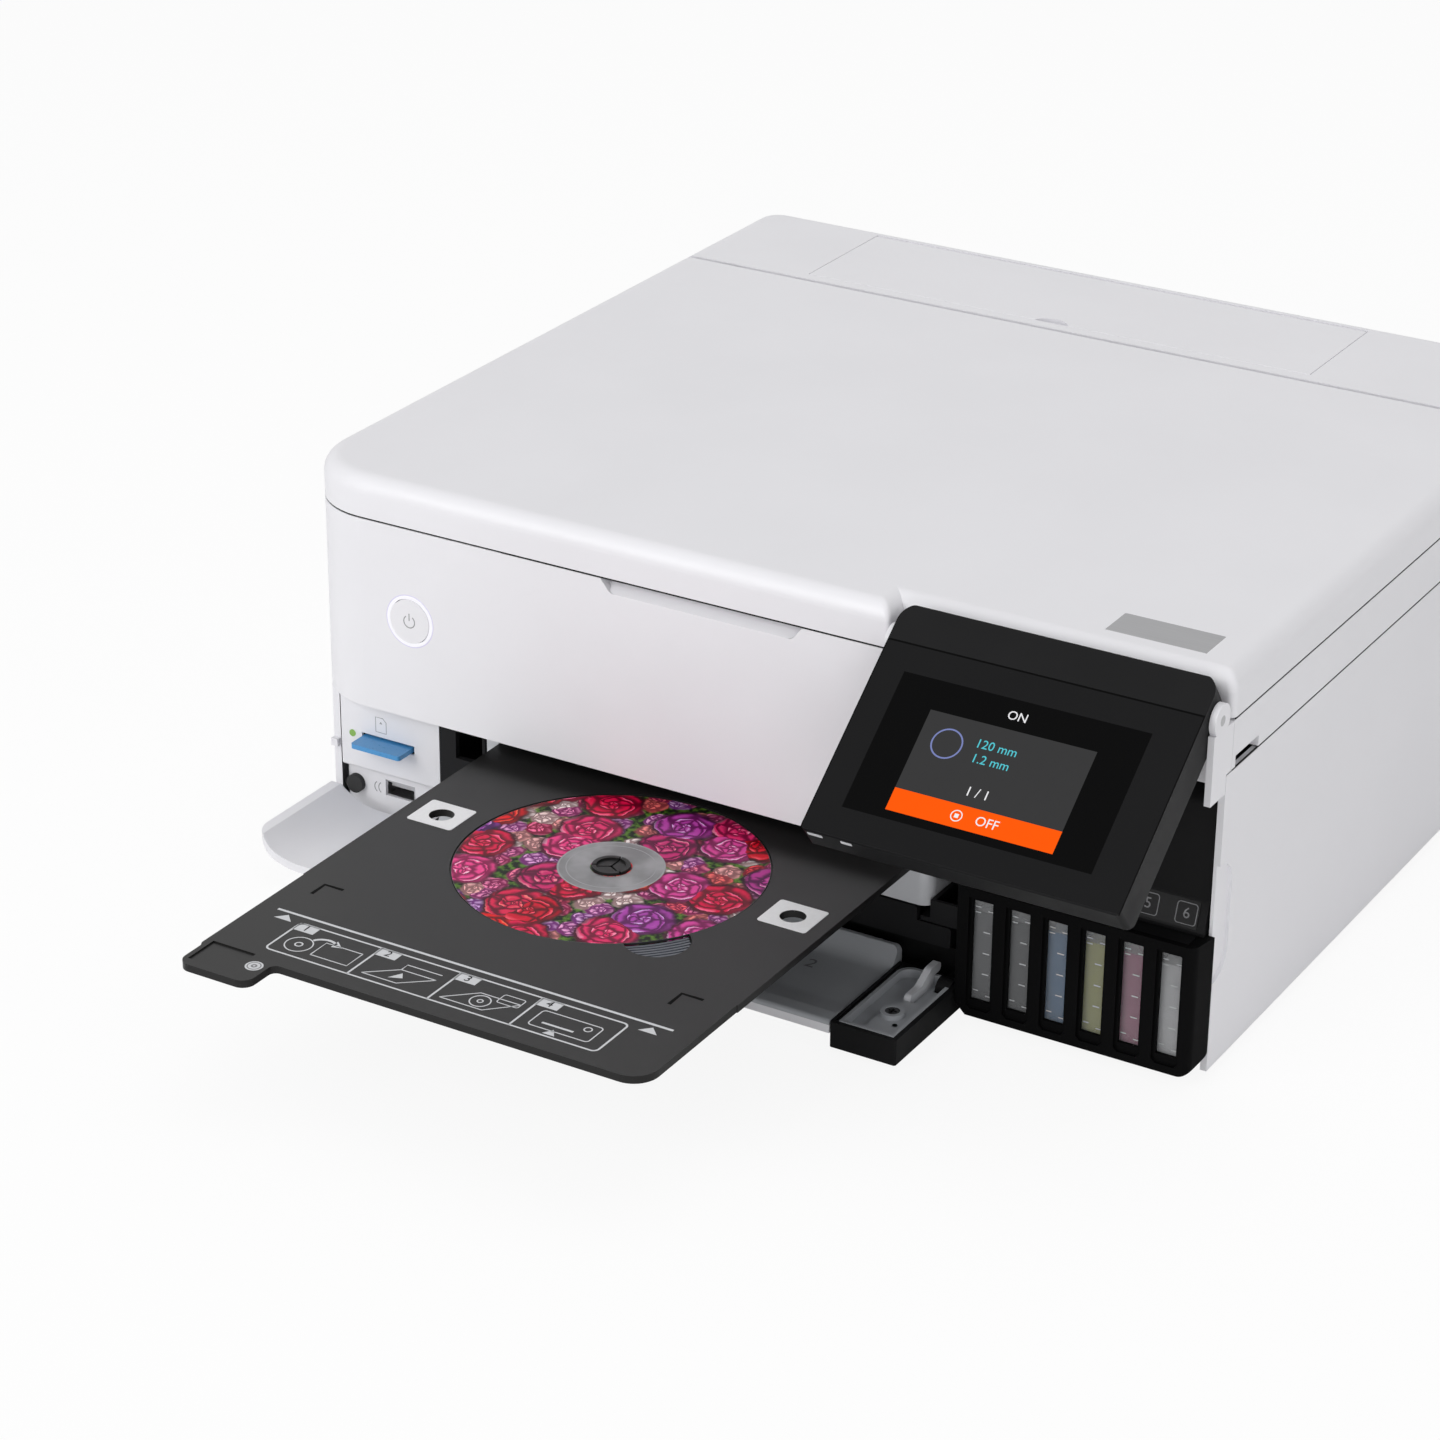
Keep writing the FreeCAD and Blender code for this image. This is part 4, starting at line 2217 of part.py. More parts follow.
glass_x = (bed_left, bed_left + dim.bed_width)
glass_y = (front + dim.bed_front, front + dim.bed_front + dim.bed_depth)
bezel_plate = outline(
    "bezel_plate",
    "XY",
    [
        (inner_left, unit_back - dim.wall),
        (inner_left, frame_notch + dim.wall, inner_round - dim.wall),
        (inner_right, frame_notch + dim.wall),
        (inner_right, unit_back - dim.wall),
    ],
    ledge_z,
    unit_top,
)
glass_hole = block(
    "glass_hole",
    (glass_x[0] + 3, glass_x[1] - 3),
    (glass_y[0] + 3, glass_y[1] - 3),
    (ledge_z - 1, unit_top + 1),
)
glass_seat = block("glass_seat", glass_x, glass_y, (unit_top - dim.bed_glass, unit_top + 1))
grip_gap = block(
    "grip_gap",
    grip_span,
    (front, front + dim.grip_depth + dim.wall),
    (ledge_z - 1, unit_top + 1),
)
node("scan_bezel", cut("bezel_cut", bezel_plate, glass_hole, glass_seat, grip_gap))
node("scan_glass", block("glass_plate", glass_x, glass_y, (unit_top - dim.bed_glass, unit_top)))

scan_y = front + dim.bed_front + dim.bed_depth / 2
rod_z = unit_bottom + dim.wall + dim.scan_rod * 2
node(
    "scan_rod",
    rod(
        "scan_rail",
        "X",
        dim.scan_rod,
        inner_left + rim,
        inner_right - inner_left - rim * 2,
        y=scan_y,
        z=rod_z,
    ),
)
bar_x = across(glass_x[0] + dim.scan_bar_park, dim.scan_bar_width)
bar_top = unit_top - dim.wall - dim.slip
bar = block(
    "bar_block",
    bar_x,
    (glass_y[0] + dim.scan_bar_inset, glass_y[1] - dim.scan_bar_inset),
    (bar_top - dim.scan_bar_height, bar_top),
)
saddle = block(
    "bar_saddle",
    bar_x,
    across(scan_y, dim.scan_saddle),
    (unit_bottom + dim.wall + dim.slip, bar_top - 1),
)
bar_bore = rod(
    "bar_bore", "X", dim.scan_rod + dim.running_fit, bar_x[0] - 1, dim.scan_bar_width + 2, y=scan_y, z=rod_z
)
node("scan_bar", cut("bar_cut", join("bar_join", bar, saddle), bar_bore))

# Hinge brackets of the unit, with the pins that lid and tower turn on.
brackets = []
bracket_gap = (dim.ear_width + dim.bracket_width) / 2 + dim.slip
lug_gap = (dim.ear_width + dim.lug_width) / 2 + dim.slip
pin_length = dim.bracket_width + dim.ear_width + dim.lug_width + dim.slip * 2
for side, name in ((-1, "left"), (1, "right")):
    middle = dim.ear_x * side - bracket_gap * side
    span = across(middle, dim.bracket_width)
    post = block(
        f"bracket_post_{name}",
        span,
        across(hinge_y, dim.hinge_pin * 1.6),
        (unit_top, hinge_z),
    )
    eye = rod(
        f"bracket_eye_{name}", "X", dim.hinge_eye, span[0], dim.bracket_width, y=hinge_y, z=hinge_z
    )
    start = span[0] if side > 0 else span[1] - pin_length
    pin = rod(f"hinge_pin_{name}", "X", dim.hinge_pin, start, pin_length, y=hinge_y, z=hinge_z)
    brackets.append(join(f"bracket_{name}", post, eye, pin))
node("hinge_brackets", group("bracket_set", *brackets))

# ---------------------------------------------------------------- lid

lid_top = dim.body_height
lid_back = front + dim.lid_back
notch_left = fascia_right - dim.wall - dim.seam
lid_plan = outline(
    "lid_plan",
    "XY",
    [
        (body_left, lid_back),
        (body_left, front, dim.corner_round),
        (notch_left, front, dim.lid_notch_round),
        (notch_left, front + dim.notch_back),
        (body_right, front + dim.notch_back, 3),
        (body_right, lid_back),
    ],
    lid_bottom,
    lid_top,
)
lid_round = soften("lid_rounded", lid_plan, dim.lid_round, top_edges(lid_top, front=lid_back))
lid_room = outline(
    "lid_room",
    "XY",
    [
        (inner_left + dim.wall, lid_back - dim.wall),
        (inner_left + dim.wall, front + dim.wall * 2, inner_round - dim.wall),
        (fascia_right - dim.wall * 3, front + dim.wall * 2),
        (fascia_right - dim.wall * 3, front + dim.notch_back + dim.wall),
        (inner_right - dim.wall, front + dim.notch_back + dim.wall),
        (inner_right - dim.wall, lid_back - dim.wall),
    ],
    lid_bottom - 1,
    lid_top - dim.lid_skin,
)
hinge_rooms = []
lugs = []
lug_bores = []
room_width = dim.bracket_width + dim.ear_width + dim.slip * 4
for side, name in ((-1, "left"), (1, "right")):
    middle = dim.ear_x * side - (dim.bracket_width / 2 + dim.slip) * side
    room = across(middle, room_width)
    hinge_rooms.append(
        block(
            f"hinge_room_{name}",
            room,
            (hinge_y - dim.hinge_eye - dim.slip, lid_back + 1),
            (lid_bottom - 1, hinge_z + dim.hinge_eye + dim.slip),
        )
    )
    span = across(dim.ear_x * side + lug_gap * side, dim.lug_width)
    lugs.append(
        block(
            f"lug_{name}",
            span,
            across(hinge_y, dim.hinge_eye * 2),
            (hinge_z - dim.hinge_eye, lid_top - dim.lid_skin / 2),
        )
    )
    lug_bores.append(
        rod(
            f"lug_bore_{name}",
            "X",
            dim.hinge_pin + dim.running_fit,
            span[0] - (0 if side > 0 else 1),
            dim.lug_width + 1,
            y=hinge_y,
            z=hinge_z,
        )
    )
badge = (badge_x, front + dim.badge_y)
badge_seat = block(
    "badge_seat",
    across(badge[0], dim.badge_width),
    across(badge[1], dim.badge_depth),
    (lid_top - dim.badge_depth_in, lid_top + 1),
)
lid_hollow = cut("lid_hollow", lid_round, lid_room)
lid_whole = cut(
    "lid_cut", join("lid_joined", lid_hollow, *lugs), *hinge_rooms, *lug_bores, badge_seat
)

# The lid meets itself beside the panel's notch, so that each side is a plain rectangle.
lid_sides = []
for name, span in (
    ("left", (notch_left, body_right + 1)),
    ("right", (body_left - 1, notch_left)),
):
    other = block(
        f"beside_lid_{name}", span, (front - 1, lid_back + 1), (lid_bottom - 1, lid_top + 1)
    )
    lid_sides.append(cut(f"lid_{name}", lid_whole, other))
node("lid_shell", group("lid_set", *lid_sides))
node(
    "badge_plate",
    outline(
        "badge_outline",
        "XY",
        [
            (badge[0] - dim.badge_width / 2, badge[1] - dim.badge_depth / 2, 1),
            (badge[0] + dim.badge_width / 2, badge[1] - dim.badge_depth / 2, 1),
            (badge[0] + dim.badge_width / 2, badge[1] + dim.badge_depth / 2, 1),
            (badge[0] - dim.badge_width / 2, badge[1] + dim.badge_depth / 2, 1),
        ],
        lid_top - dim.badge_depth_in,
        lid_top,
    ),
)
node(
    "lid_pad",
    outline(
        "pad_plan",
        "XY",
        [
            (bed_left - dim.pad_margin, glass_y[1] + dim.pad_margin, 3),
            (bed_left - dim.pad_margin, glass_y[0] - dim.pad_margin, 3),
            (glass_x[1] + dim.pad_margin, glass_y[0] - dim.pad_margin, 3),
            (glass_x[1] + dim.pad_margin, glass_y[1] + dim.pad_margin, 3),
        ],
        lid_bottom,
        lid_top - dim.lid_skin,
    ),
)

# ---------------------------------------------------------------- control panel


def tilt(item):
    """Turns an upright piece of the panel about the panel's pivot."""
    item.Placement = FreeCAD.Placement(
        FreeCAD.Vector(), FreeCAD.Rotation(FreeCAD.Vector(-1, 0, 0), dim.screen_tilt.value)
    )
    bind(item, "Placement.Rotation.Angle", dim.screen_tilt)
    put(item, as_size(0), axis_y, screen_axis_z)
    return item


screen_x = (screen_left, screen_right)
screen_face = -dim.screen_proud
screen_rear = dim.screen_body - dim.screen_proud
screen_top = dim.screen_band - dim.screen_drop
screen_foot = -dim.screen_drop - dim.screen_length
side_view = outline(
    "panel_side_view",
    "YZ",
    [
        (screen_face, screen_foot, dim.screen_chin),
        (screen_face, screen_top, 1),
        (screen_rear - 2, screen_top - dim.screen_slope, 2),
        (screen_rear, screen_top - dim.screen_shoulder, 2),
        (screen_rear, screen_foot + dim.screen_bevel, 3),
        (screen_rear - dim.screen_bevel, screen_foot, 2),
    ],
    screen_x[0],
    screen_x[1],
)
front_view = outline(
    "panel_front_view",
    "XZ",
    [
        (screen_x[0], screen_foot - 0.01, 2),
        (screen_x[0], screen_top + 0.01, dim.screen_round),
        (screen_x[1], screen_top + 0.01, dim.screen_round),
        (screen_x[1], screen_foot - 0.01, 2),
    ],
    screen_face - 1,
    screen_rear + 1,
)
glass_recess = block(
    "screen_recess",
    (screen_x[0] + dim.screen_rim, screen_x[1] - dim.screen_rim),
    (screen_face - 1, screen_face + dim.glass_thickness),
    (screen_foot + dim.screen_rim, -dim.screen_drop),
)
pin_sockets = []
for name, start in (
    ("left", screen_x[0] - 1),
    ("right", screen_x[1] - dim.panel_pin + 1 - dim.slip),
):
    pin_sockets.append(
        rod(f"pin_socket_{name}", "X", dim.pin_radius + dim.running_fit, start, dim.panel_pin + dim.slip)
    )
node(
    "panel_housing",
    tilt(cut("panel_cut", shared("panel_solid", side_view, front_view), glass_recess, *pin_sockets)),
)
screen_glass = block(
    "screen_glass",
    (screen_x[0] + dim.screen_rim, screen_x[1] - dim.screen_rim),
    (screen_face, screen_face + dim.glass_thickness),
    (screen_foot + dim.screen_rim, -dim.screen_drop),
)
node("panel_glass", tilt(group("screen_glass_set", screen_glass)))
node(
    "panel_pins",
    group(
        "panel_pin_set",
        rod(
            "panel_pin_left", "X", dim.pin_radius, fascia_right - dim.wall, dim.panel_pin,
            y=axis_y, z=screen_axis_z,
        ),
        rod(
            "panel_pin_right", "X", dim.pin_radius, half_width - dim.panel_pin, dim.panel_pin,
            y=axis_y, z=screen_axis_z,
        ),
    ),
)

# ---------------------------------------------------------------- checks and files

doc.recompute()
failed = [item.Name for item in doc.Objects if {"Invalid", "Error"} & set(item.State)]
failed += [item.Label for item in nodes if item.Shape.isNull() or not item.Shape.isValid()]
if failed:
    raise RuntimeError(f"these failed: {', '.join(failed)}")

os.makedirs("parts", exist_ok=True)
for item in nodes:
    item.Shape.exportStep(f"parts/{item.Label}.step")
    box = item.Shape.BoundBox
    print(
        f"{item.Label:18s} x {box.XMin:8.2f} {box.XMax:8.2f}  y {box.YMin:8.2f} {box.YMax:8.2f}"
        f"  z {box.ZMin:7.2f} {box.ZMax:7.2f}  solids {len(item.Shape.Solids)}"
    )
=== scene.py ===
import json
import math

import bpy
from mathutils import Matrix, Vector


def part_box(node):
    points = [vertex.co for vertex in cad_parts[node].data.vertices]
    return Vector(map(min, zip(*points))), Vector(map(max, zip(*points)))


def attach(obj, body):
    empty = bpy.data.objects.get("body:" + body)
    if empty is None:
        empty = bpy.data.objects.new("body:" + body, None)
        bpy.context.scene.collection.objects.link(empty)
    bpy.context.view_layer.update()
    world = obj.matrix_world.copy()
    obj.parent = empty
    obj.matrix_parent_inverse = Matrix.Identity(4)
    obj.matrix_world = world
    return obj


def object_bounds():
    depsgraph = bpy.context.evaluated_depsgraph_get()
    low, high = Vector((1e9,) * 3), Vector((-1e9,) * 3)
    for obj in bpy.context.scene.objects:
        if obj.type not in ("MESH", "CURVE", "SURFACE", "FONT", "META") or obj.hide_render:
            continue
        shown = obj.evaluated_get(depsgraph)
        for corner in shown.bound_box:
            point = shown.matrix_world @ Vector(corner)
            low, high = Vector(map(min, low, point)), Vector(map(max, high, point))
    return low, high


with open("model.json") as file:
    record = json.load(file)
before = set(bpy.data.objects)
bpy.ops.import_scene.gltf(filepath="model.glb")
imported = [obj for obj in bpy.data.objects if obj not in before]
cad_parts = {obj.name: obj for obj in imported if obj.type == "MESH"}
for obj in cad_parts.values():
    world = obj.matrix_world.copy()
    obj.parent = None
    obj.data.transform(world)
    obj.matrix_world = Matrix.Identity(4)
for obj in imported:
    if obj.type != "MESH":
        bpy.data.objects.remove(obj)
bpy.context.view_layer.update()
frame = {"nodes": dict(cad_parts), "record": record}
nodes = frame["nodes"]

MM = 0.001
FRONT = -89 * MM


# ---------------------------------------------------------------- shader building


class Wire:
    """An output socket. Arithmetic on it adds Math nodes."""

    def __init__(self, finish, socket):
        self.finish = finish
        self.socket = socket

    def maths(self, operation, *values):
        sockets = dict(enumerate(values))
        return self.finish.add("ShaderNodeMath", {"operation": operation}, sockets)

    def __add__(self, other):
        return self.maths("ADD", self, other)

    def __radd__(self, other):
        return self.maths("ADD", other, self)

    def __sub__(self, other):
        return self.maths("SUBTRACT", self, other)

    def __rsub__(self, other):
        return self.maths("SUBTRACT", other, self)

    def __mul__(self, other):
        return self.maths("MULTIPLY", self, other)

    def __rmul__(self, other):
        return self.maths("MULTIPLY", other, self)

    def __pow__(self, other):
        return self.maths("POWER", self, other)

    def fract(self):
        return self.maths("FRACT", self)

    def soft(self, low, high):
        """0 below low and 1 above high, with an eased step between."""
        settings = {"clamp": True, "interpolation_type": "SMOOTHSTEP"}
        sockets = {"Value": self, "From Min": low, "From Max": high}
        return self.finish.add("ShaderNodeMapRange", settings, sockets)


class Finish:
    """A procedural material round one Principled shader."""

    def __init__(self, name, **constants):
        self.material = bpy.data.materials.new(name)
        self.material.use_nodes = True
        self.tree = self.material.node_tree
        self.shader = self.tree.nodes["Principled BSDF"]
        for socket, value in constants.items():
            self.shader.inputs[socket.replace("_", " ")].default_value = value
        self.place = self.add("ShaderNodeTexCoord", {}, {}, "Object")

    def add(self, kind, settings, sockets, output=0):
        node = self.tree.nodes.new(kind)
        for name, value in settings.items():
            if name == "stops":
                self.fill_ramp(node.color_ramp, value)
            else:
                setattr(node, name, value)
        for name, value in sockets.items():
            self.feed(node.inputs[name], value)
        return Wire(self, node.outputs[output])

    def fill_ramp(self, ramp, stops):
        while len(ramp.elements) < len(stops):
            ramp.elements.new(1.0)
        for element, (position, colour) in zip(ramp.elements, stops):
            element.position = position
            element.color = (*colour, 1.0)

    def feed(self, socket, value):
        if isinstance(value, Wire):
            self.tree.links.new(value.socket, socket)
        elif socket.type == "RGBA":
            socket.default_value = (*value, 1.0)
        else:
            socket.default_value = value

    def set(self, **sockets):
        for name, value in sockets.items():
            self.feed(self.shader.inputs[name.replace("_", " ")], value)
        return self

    def noise(self, scale, detail=3.0, place=None, output=0):
        sockets = {"Vector": place or self.place, "Scale": scale, "Detail": detail}
        return self.add("ShaderNodeTexNoise", {}, sockets, output)

    def mix(self, factor, first, second):
        return self.add(
            "ShaderNodeMix", {"data_type": "RGBA"}, {0: factor, 6: first, 7: second}, 2
        )

    def ramp(self, factor, stops):
        return self.add("ShaderNodeValToRGB", {"stops": stops}, {"Fac": factor})

    def bump(self, height, strength, distance=0.1 * MM):
        sockets = {"Height": height, "Strength": strength, "Distance": distance}
        return self.add("ShaderNodeBump", {}, sockets)

    def axis(self, letter, place=None):
        return self.add("ShaderNodeSeparateXYZ", {}, {0: place or self.place}, letter)


def scaled(colour, by):
    return tuple(min(1.0, part * by) for part in colour)


def moulded(name, colour, rough, grain, grain_size, spread=0.03, **constants):
    """Injection moulded plastic: spark-eroded grain, faint mottling, handling marks."""
    finish = Finish(name, **constants)
    cloud = finish.noise(14, 4)
    smears = finish.noise(55, 5)
    texture = finish.noise(1 / grain_size, 2)
    dark, light = scaled(colour, 1 - spread), scaled(colour, 1 + spread)
    tone = finish.mix(cloud.soft(0.3, 0.7), dark, light)
    marks = smears.soft(0.45, 0.75)
    return finish.set(
        Base_Color=tone,
        Roughness=rough + marks * 0.07 + texture * 0.05,
        Normal=finish.bump(texture, grain),
    )


def white_shell():
    return moulded("white_shell", (0.80, 0.795, 0.825), 0.38, 0.18, 0.5 * MM, 0.012)


def black_body():
    return moulded(
        "black_body", (0.008, 0.008, 0.0085), 0.4, 0.16, 0.6 * MM, 0.1, Specular_IOR_Level=0.1
    )


def black_gloss():
    return moulded(
        "black_gloss", (0.005, 0.005, 0.0055), 0.18, 0.05, 1.2 * MM, 0.1, Specular_IOR_Level=0.16
    )


def tank_black():
    """Darker, finer grain of the ink tank unit."""
    return moulded(
        "tank_black", (0.0028, 0.0028, 0.003), 0.5, 0.08, 0.6 * MM, 0.1, Specular_IOR_Level=0.035
    )


def dark_inside():
    return moulded(
        "dark_inside", (0.014, 0.014, 0.015), 0.42, 0.2, 0.7 * MM, 0.12, Specular_IOR_Level=0.12
    )


def tray_black():
    """The tray's smooth black, with a faint brushed grain."""
    finish = Finish("tray_black", Specular_IOR_Level=0.22)
    cloud = finish.noise(9, 3)
    grain = finish.noise(1100, 2)
    return finish.set(
        Base_Color=finish.mix(cloud, (0.0128, 0.0125, 0.0125), (0.0145, 0.0142, 0.0142)),
        Roughness=0.27 + cloud * 0.04 + grain * 0.03,
        Normal=finish.bump(grain, 0.04),
    )


def screw_steel():
    """Darkened steel of the screw in the cover's end."""
    finish = Finish("screw_steel", Metallic=1.0)
    cloud = finish.noise(900, 3)
    return finish.set(
        Base_Color=finish.mix(cloud, (0.03, 0.03, 0.032), (0.16, 0.16, 0.165)),
        Roughness=0.3 + cloud * 0.1,
    )


def mid_grey():
    return moulded("mid_grey", (0.40, 0.415, 0.44), 0.36, 0.14, 0.7 * MM, 0.05)


def light_grey():
    return moulded("light_grey", (0.66, 0.67, 0.70), 0.36, 0.12, 0.7 * MM, 0.03)


def foam_white():
    return moulded("foam_white", (0.82, 0.82, 0.82), 0.6, 0.4, 1.5 * MM, 0.03)


def soft_rubber():
    return moulded("soft_rubber", (0.02, 0.02, 0.021), 0.62, 0.4, 0.8 * MM, 0.2)


def ground_steel():
    finish = Finish("ground_steel", Metallic=1.0)
    stretched = finish.add(
        "ShaderNodeMapping", {}, {"Vector": finish.place, "Scale": (20.0, 900.0, 900.0)}
    )
    lines = finish.noise(1.0, 3, stretched)
    return finish.set(
        Base_Color=finish.mix(lines, (0.42, 0.42, 0.43), (0.62, 0.62, 0.63)),
        Roughness=0.24 + lines * 0.2,
        Normal=finish.bump(lines, 0.15),
    )


def badge_metal():
    finish = Finish("badge_metal", Metallic=0.55)
    stretched = finish.add(
        "ShaderNodeMapping", {}, {"Vector": finish.place, "Scale": (40.0, 1600.0, 1.0)}
    )
    lines = finish.noise(1.0, 2, stretched)
    return finish.set(
        Base_Color=finish.mix(lines, (0.29, 0.29, 0.30), (0.38, 0.38, 0.39)),
        Roughness=0.3 + lines * 0.15,
    )


def screen_glass():
    finish = Finish("screen_glass", Specular_IOR_Level=0.09)
    smears = finish.noise(30, 5)
    return finish.set(
        Base_Color=finish.mix(smears, (0.0065, 0.0065, 0.007), (0.0075, 0.0075, 0.008)),
        Roughness=0.2 + smears.soft(0.4, 0.8) * 0.04,
    )


def bed_glass():
    finish = Finish("bed_glass", Transmission_Weight=0.6, IOR=1.5)
    smears = finish.noise(40, 4)
    return finish.set(
        Base_Color=finish.mix(smears, (0.24, 0.26, 0.25), (0.27, 0.29, 0.28)),
        Roughness=0.03 + smears.soft(0.5, 0.8) * 0.05,
    )


def tank_plastic():
    """Clear tank walls, a little milky."""
    finish = Finish("tank_plastic", IOR=1.45, Specular_IOR_Level=0.2)
    cloud = finish.noise(40, 2)
    return finish.set(
        Base_Color=finish.mix(cloud, (0.44, 0.45, 0.46), (0.52, 0.53, 0.54)),
        Roughness=0.2 + cloud * 0.06,
        Alpha=0.2 + cloud * 0.04,
    )


def ink(name, colour):
    finish = Finish(f"ink_{name}", IOR=1.35)
    settling = finish.noise(60, 3)
    return finish.set(
        Base_Color=finish.mix(settling, scaled(colour, 0.85), scaled(colour, 1.1)),
        Roughness=0.2 + settling * 0.1,
    )


def printed(name, colour, rough=0.4, **constants):
    """A printed mark: a thin coat of ink that lets a little of its ground through. It also colours
    the marks of painted shade and painted glow.
    """
    finish = Finish(name, **constants)
    cloud = finish.noise(700, 3)
    return finish.set(
        Base_Color=finish.mix(cloud, scaled(colour, 0.93), scaled(colour, 1.04)),
        Roughness=rough + cloud * 0.08,
    )


def lit(name, colour, strength):
    """A lit mark behind the screen's glass, or a lamp."""
    finish = Finish(name, Emission_Strength=strength, Specular_IOR_Level=0.05)
    cloud = finish.noise(300, 2)
    glow = finish.mix(cloud, scaled(colour, 0.97), scaled(colour, 1.02))
    return finish.set(
        Base_Color=scaled(colour, 0.02), Emission_Color=glow, Roughness=0.3 + cloud * 0.03
    )


def flower_print():
    """The disc's print: blooms of two sizes, each cell one bloom of curled petals, over leaves."""
    ROSE, ROSE_PETALS, ROSE_TURNS = 25 * MM, 5.0, 4.2
    BUD, BUD_PETALS, BUD_TURNS, BUD_SHIFT = 10.5 * MM, 6.0, 2.6, 3.7
    RAGGED = 0.005
    START_TURN, CROWDING, PETAL_ROUND, CREASE, OUTER_SHADE = 5.0, 0.7, 1.4, 0.28, 0.55
    KINDS = (0.0, 0.42, 0.62, 0.78, 0.90)
    BUD_KINDS = (0.0, 0.4, 0.66, 0.86)
    finish = Finish("flower_print", Specular_IOR_Level=0.12, Coat_Roughness=0.12)
    finish.set(Coat_Weight=0.03 + finish.noise(90, 2) * 0.02)
    ragged = finish.noise(160, 4, output=1)
    drift = finish.add("ShaderNodeVectorMath", {"operation": "SCALE"}, {0: ragged, "Scale": RAGGED})
    spot = finish.add("ShaderNodeVectorMath", {"operation": "ADD"}, {0: finish.place, 1: drift})

    def blooms(size, petals, turns, seed):
        """Distance from each bloom's middle, light on its petals, and a number per bloom."""
        moved = finish.add(
            "ShaderNodeVectorMath", {"operation": "ADD"}, {0: spot, 1: (seed, seed * 0.7, 0.0)}
        )
        settings = {"voronoi_dimensions": "2D"}
        sockets = {"Vector": moved, "Scale": 1 / size, "Randomness": 0.9}
        cell = finish.add("ShaderNodeTexVoronoi", settings, sockets, "Distance")
        cells = cell.socket.node.outputs
        middle = Wire(finish, cells["Position"])
        chance = finish.axis("X", Wire(finish, cells["Color"]))
        away = finish.add(
            "ShaderNodeVectorMath", {"operation": "SUBTRACT"}, {0: moved, 1: middle}
        )
        angle = cell.maths("ARCTAN2", finish.axis("Y", away), finish.axis("X", away))
        around = angle * (petals / math.tau) + chance * START_TURN
        outward = (cell ** CROWDING) * turns + angle * (1 / math.tau)
        polar = finish.add("ShaderNodeCombineXYZ", {}, {"X": around, "Y": outward})
        petal_sockets = {"Vector": polar, "Scale": 1.0, "Randomness": 0.7}
        folds = {"voronoi_dimensions": "2D", "feature": "DISTANCE_TO_EDGE"}
        crease = finish.add("ShaderNodeTexVoronoi", folds, petal_sockets)
        curl = outward.fract()
        light = curl ** PETAL_ROUND * crease.soft(0.0, CREASE) * (1.1 - cell * OUTER_SHADE)
        return cell, light, chance

    def shades(pick, kinds, *colours):
        """One of several colours for each bloom, by its number."""
        return finish.ramp(pick, list(zip(kinds, colours)))

    far, light, pick = blooms(ROSE, ROSE_PETALS, ROSE_TURNS, 0.0)
    deep = shades(
        pick,
        KINDS,
        (0.10, 0.0, 0.004),
        (0.14, 0.0, 0.014),
        (0.24, 0.006, 0.07),
        (0.035, 0.006, 0.10),
        (0.14, 0.0, 0.004),
    )
    middle = shades(
        pick,
        KINDS,
        (0.62, 0.0, 0.014),
        (0.72, 0.004, 0.07),
        (0.86, 0.06, 0.28),
        (0.20, 0.05, 0.46),
        (0.80, 0.006, 0.008),
    )
    pale = shades(
        pick,
        KINDS,
        (1.0, 0.09, 0.13),
        (1.0, 0.16, 0.34),
        (1.0, 0.62, 0.78),
        (0.66, 0.46, 0.92),
        (1.0, 0.16, 0.08),
    )
    rose = finish.mix(light.soft(0.0, 0.30), deep, middle)
    rose = finish.mix(light.soft(0.42, 0.95), rose, pale)
    near, fine, small_pick = blooms(BUD, BUD_PETALS, BUD_TURNS, BUD_SHIFT)
    bud_dark = shades(
        small_pick,
        BUD_KINDS,
        (0.22, 0.0, 0.03),
        (0.15, 0.02, 0.20),
        (0.24, 0.0, 0.01),
        (0.3, 0.2, 0.2),
    )
    bud_pale = shades(
        small_pick,
        BUD_KINDS,
        (1.0, 0.16, 0.34),
        (0.80, 0.52, 0.92),
        (1.0, 0.05, 0.04),
        (0.95, 0.86, 0.84),
    )
    bud = finish.mix(fine.soft(0.02, 0.6), bud_dark, bud_pale)
    foliage = finish.noise(380, 4).soft(0.42, 0.68)
    leaf = finish.mix(foliage, (0.002, 0.006, 0.002), (0.10, 0.22, 0.02))
    ground = finish.mix(near.soft(0.46, 0.60), bud, leaf)
    picture = finish.mix(far.soft(0.46, 0.51), rose, ground)
    rim = far.soft(0.40, 0.47) * (1 - far.soft(0.48, 0.56)) * 0.75
    return finish.set(
        Base_Color=finish.mix(rim, picture, (0.012, 0.0, 0.005)),
        Roughness=0.3 + finish.noise(400, 2) * 0.08,
    )


def clear_disc():
    """The unprinted ring of the disc round its hole."""
    finish = Finish("clear_disc", Coat_Roughness=0.05, IOR=1.5)
    cloud = finish.noise(60, 3)
    return finish.set(
        Base_Color=finish.mix(cloud.soft(0.3, 0.7), (0.17, 0.17, 0.175), (0.30, 0.30, 0.31)),
        Roughness=0.16 + cloud * 0.08,
    )


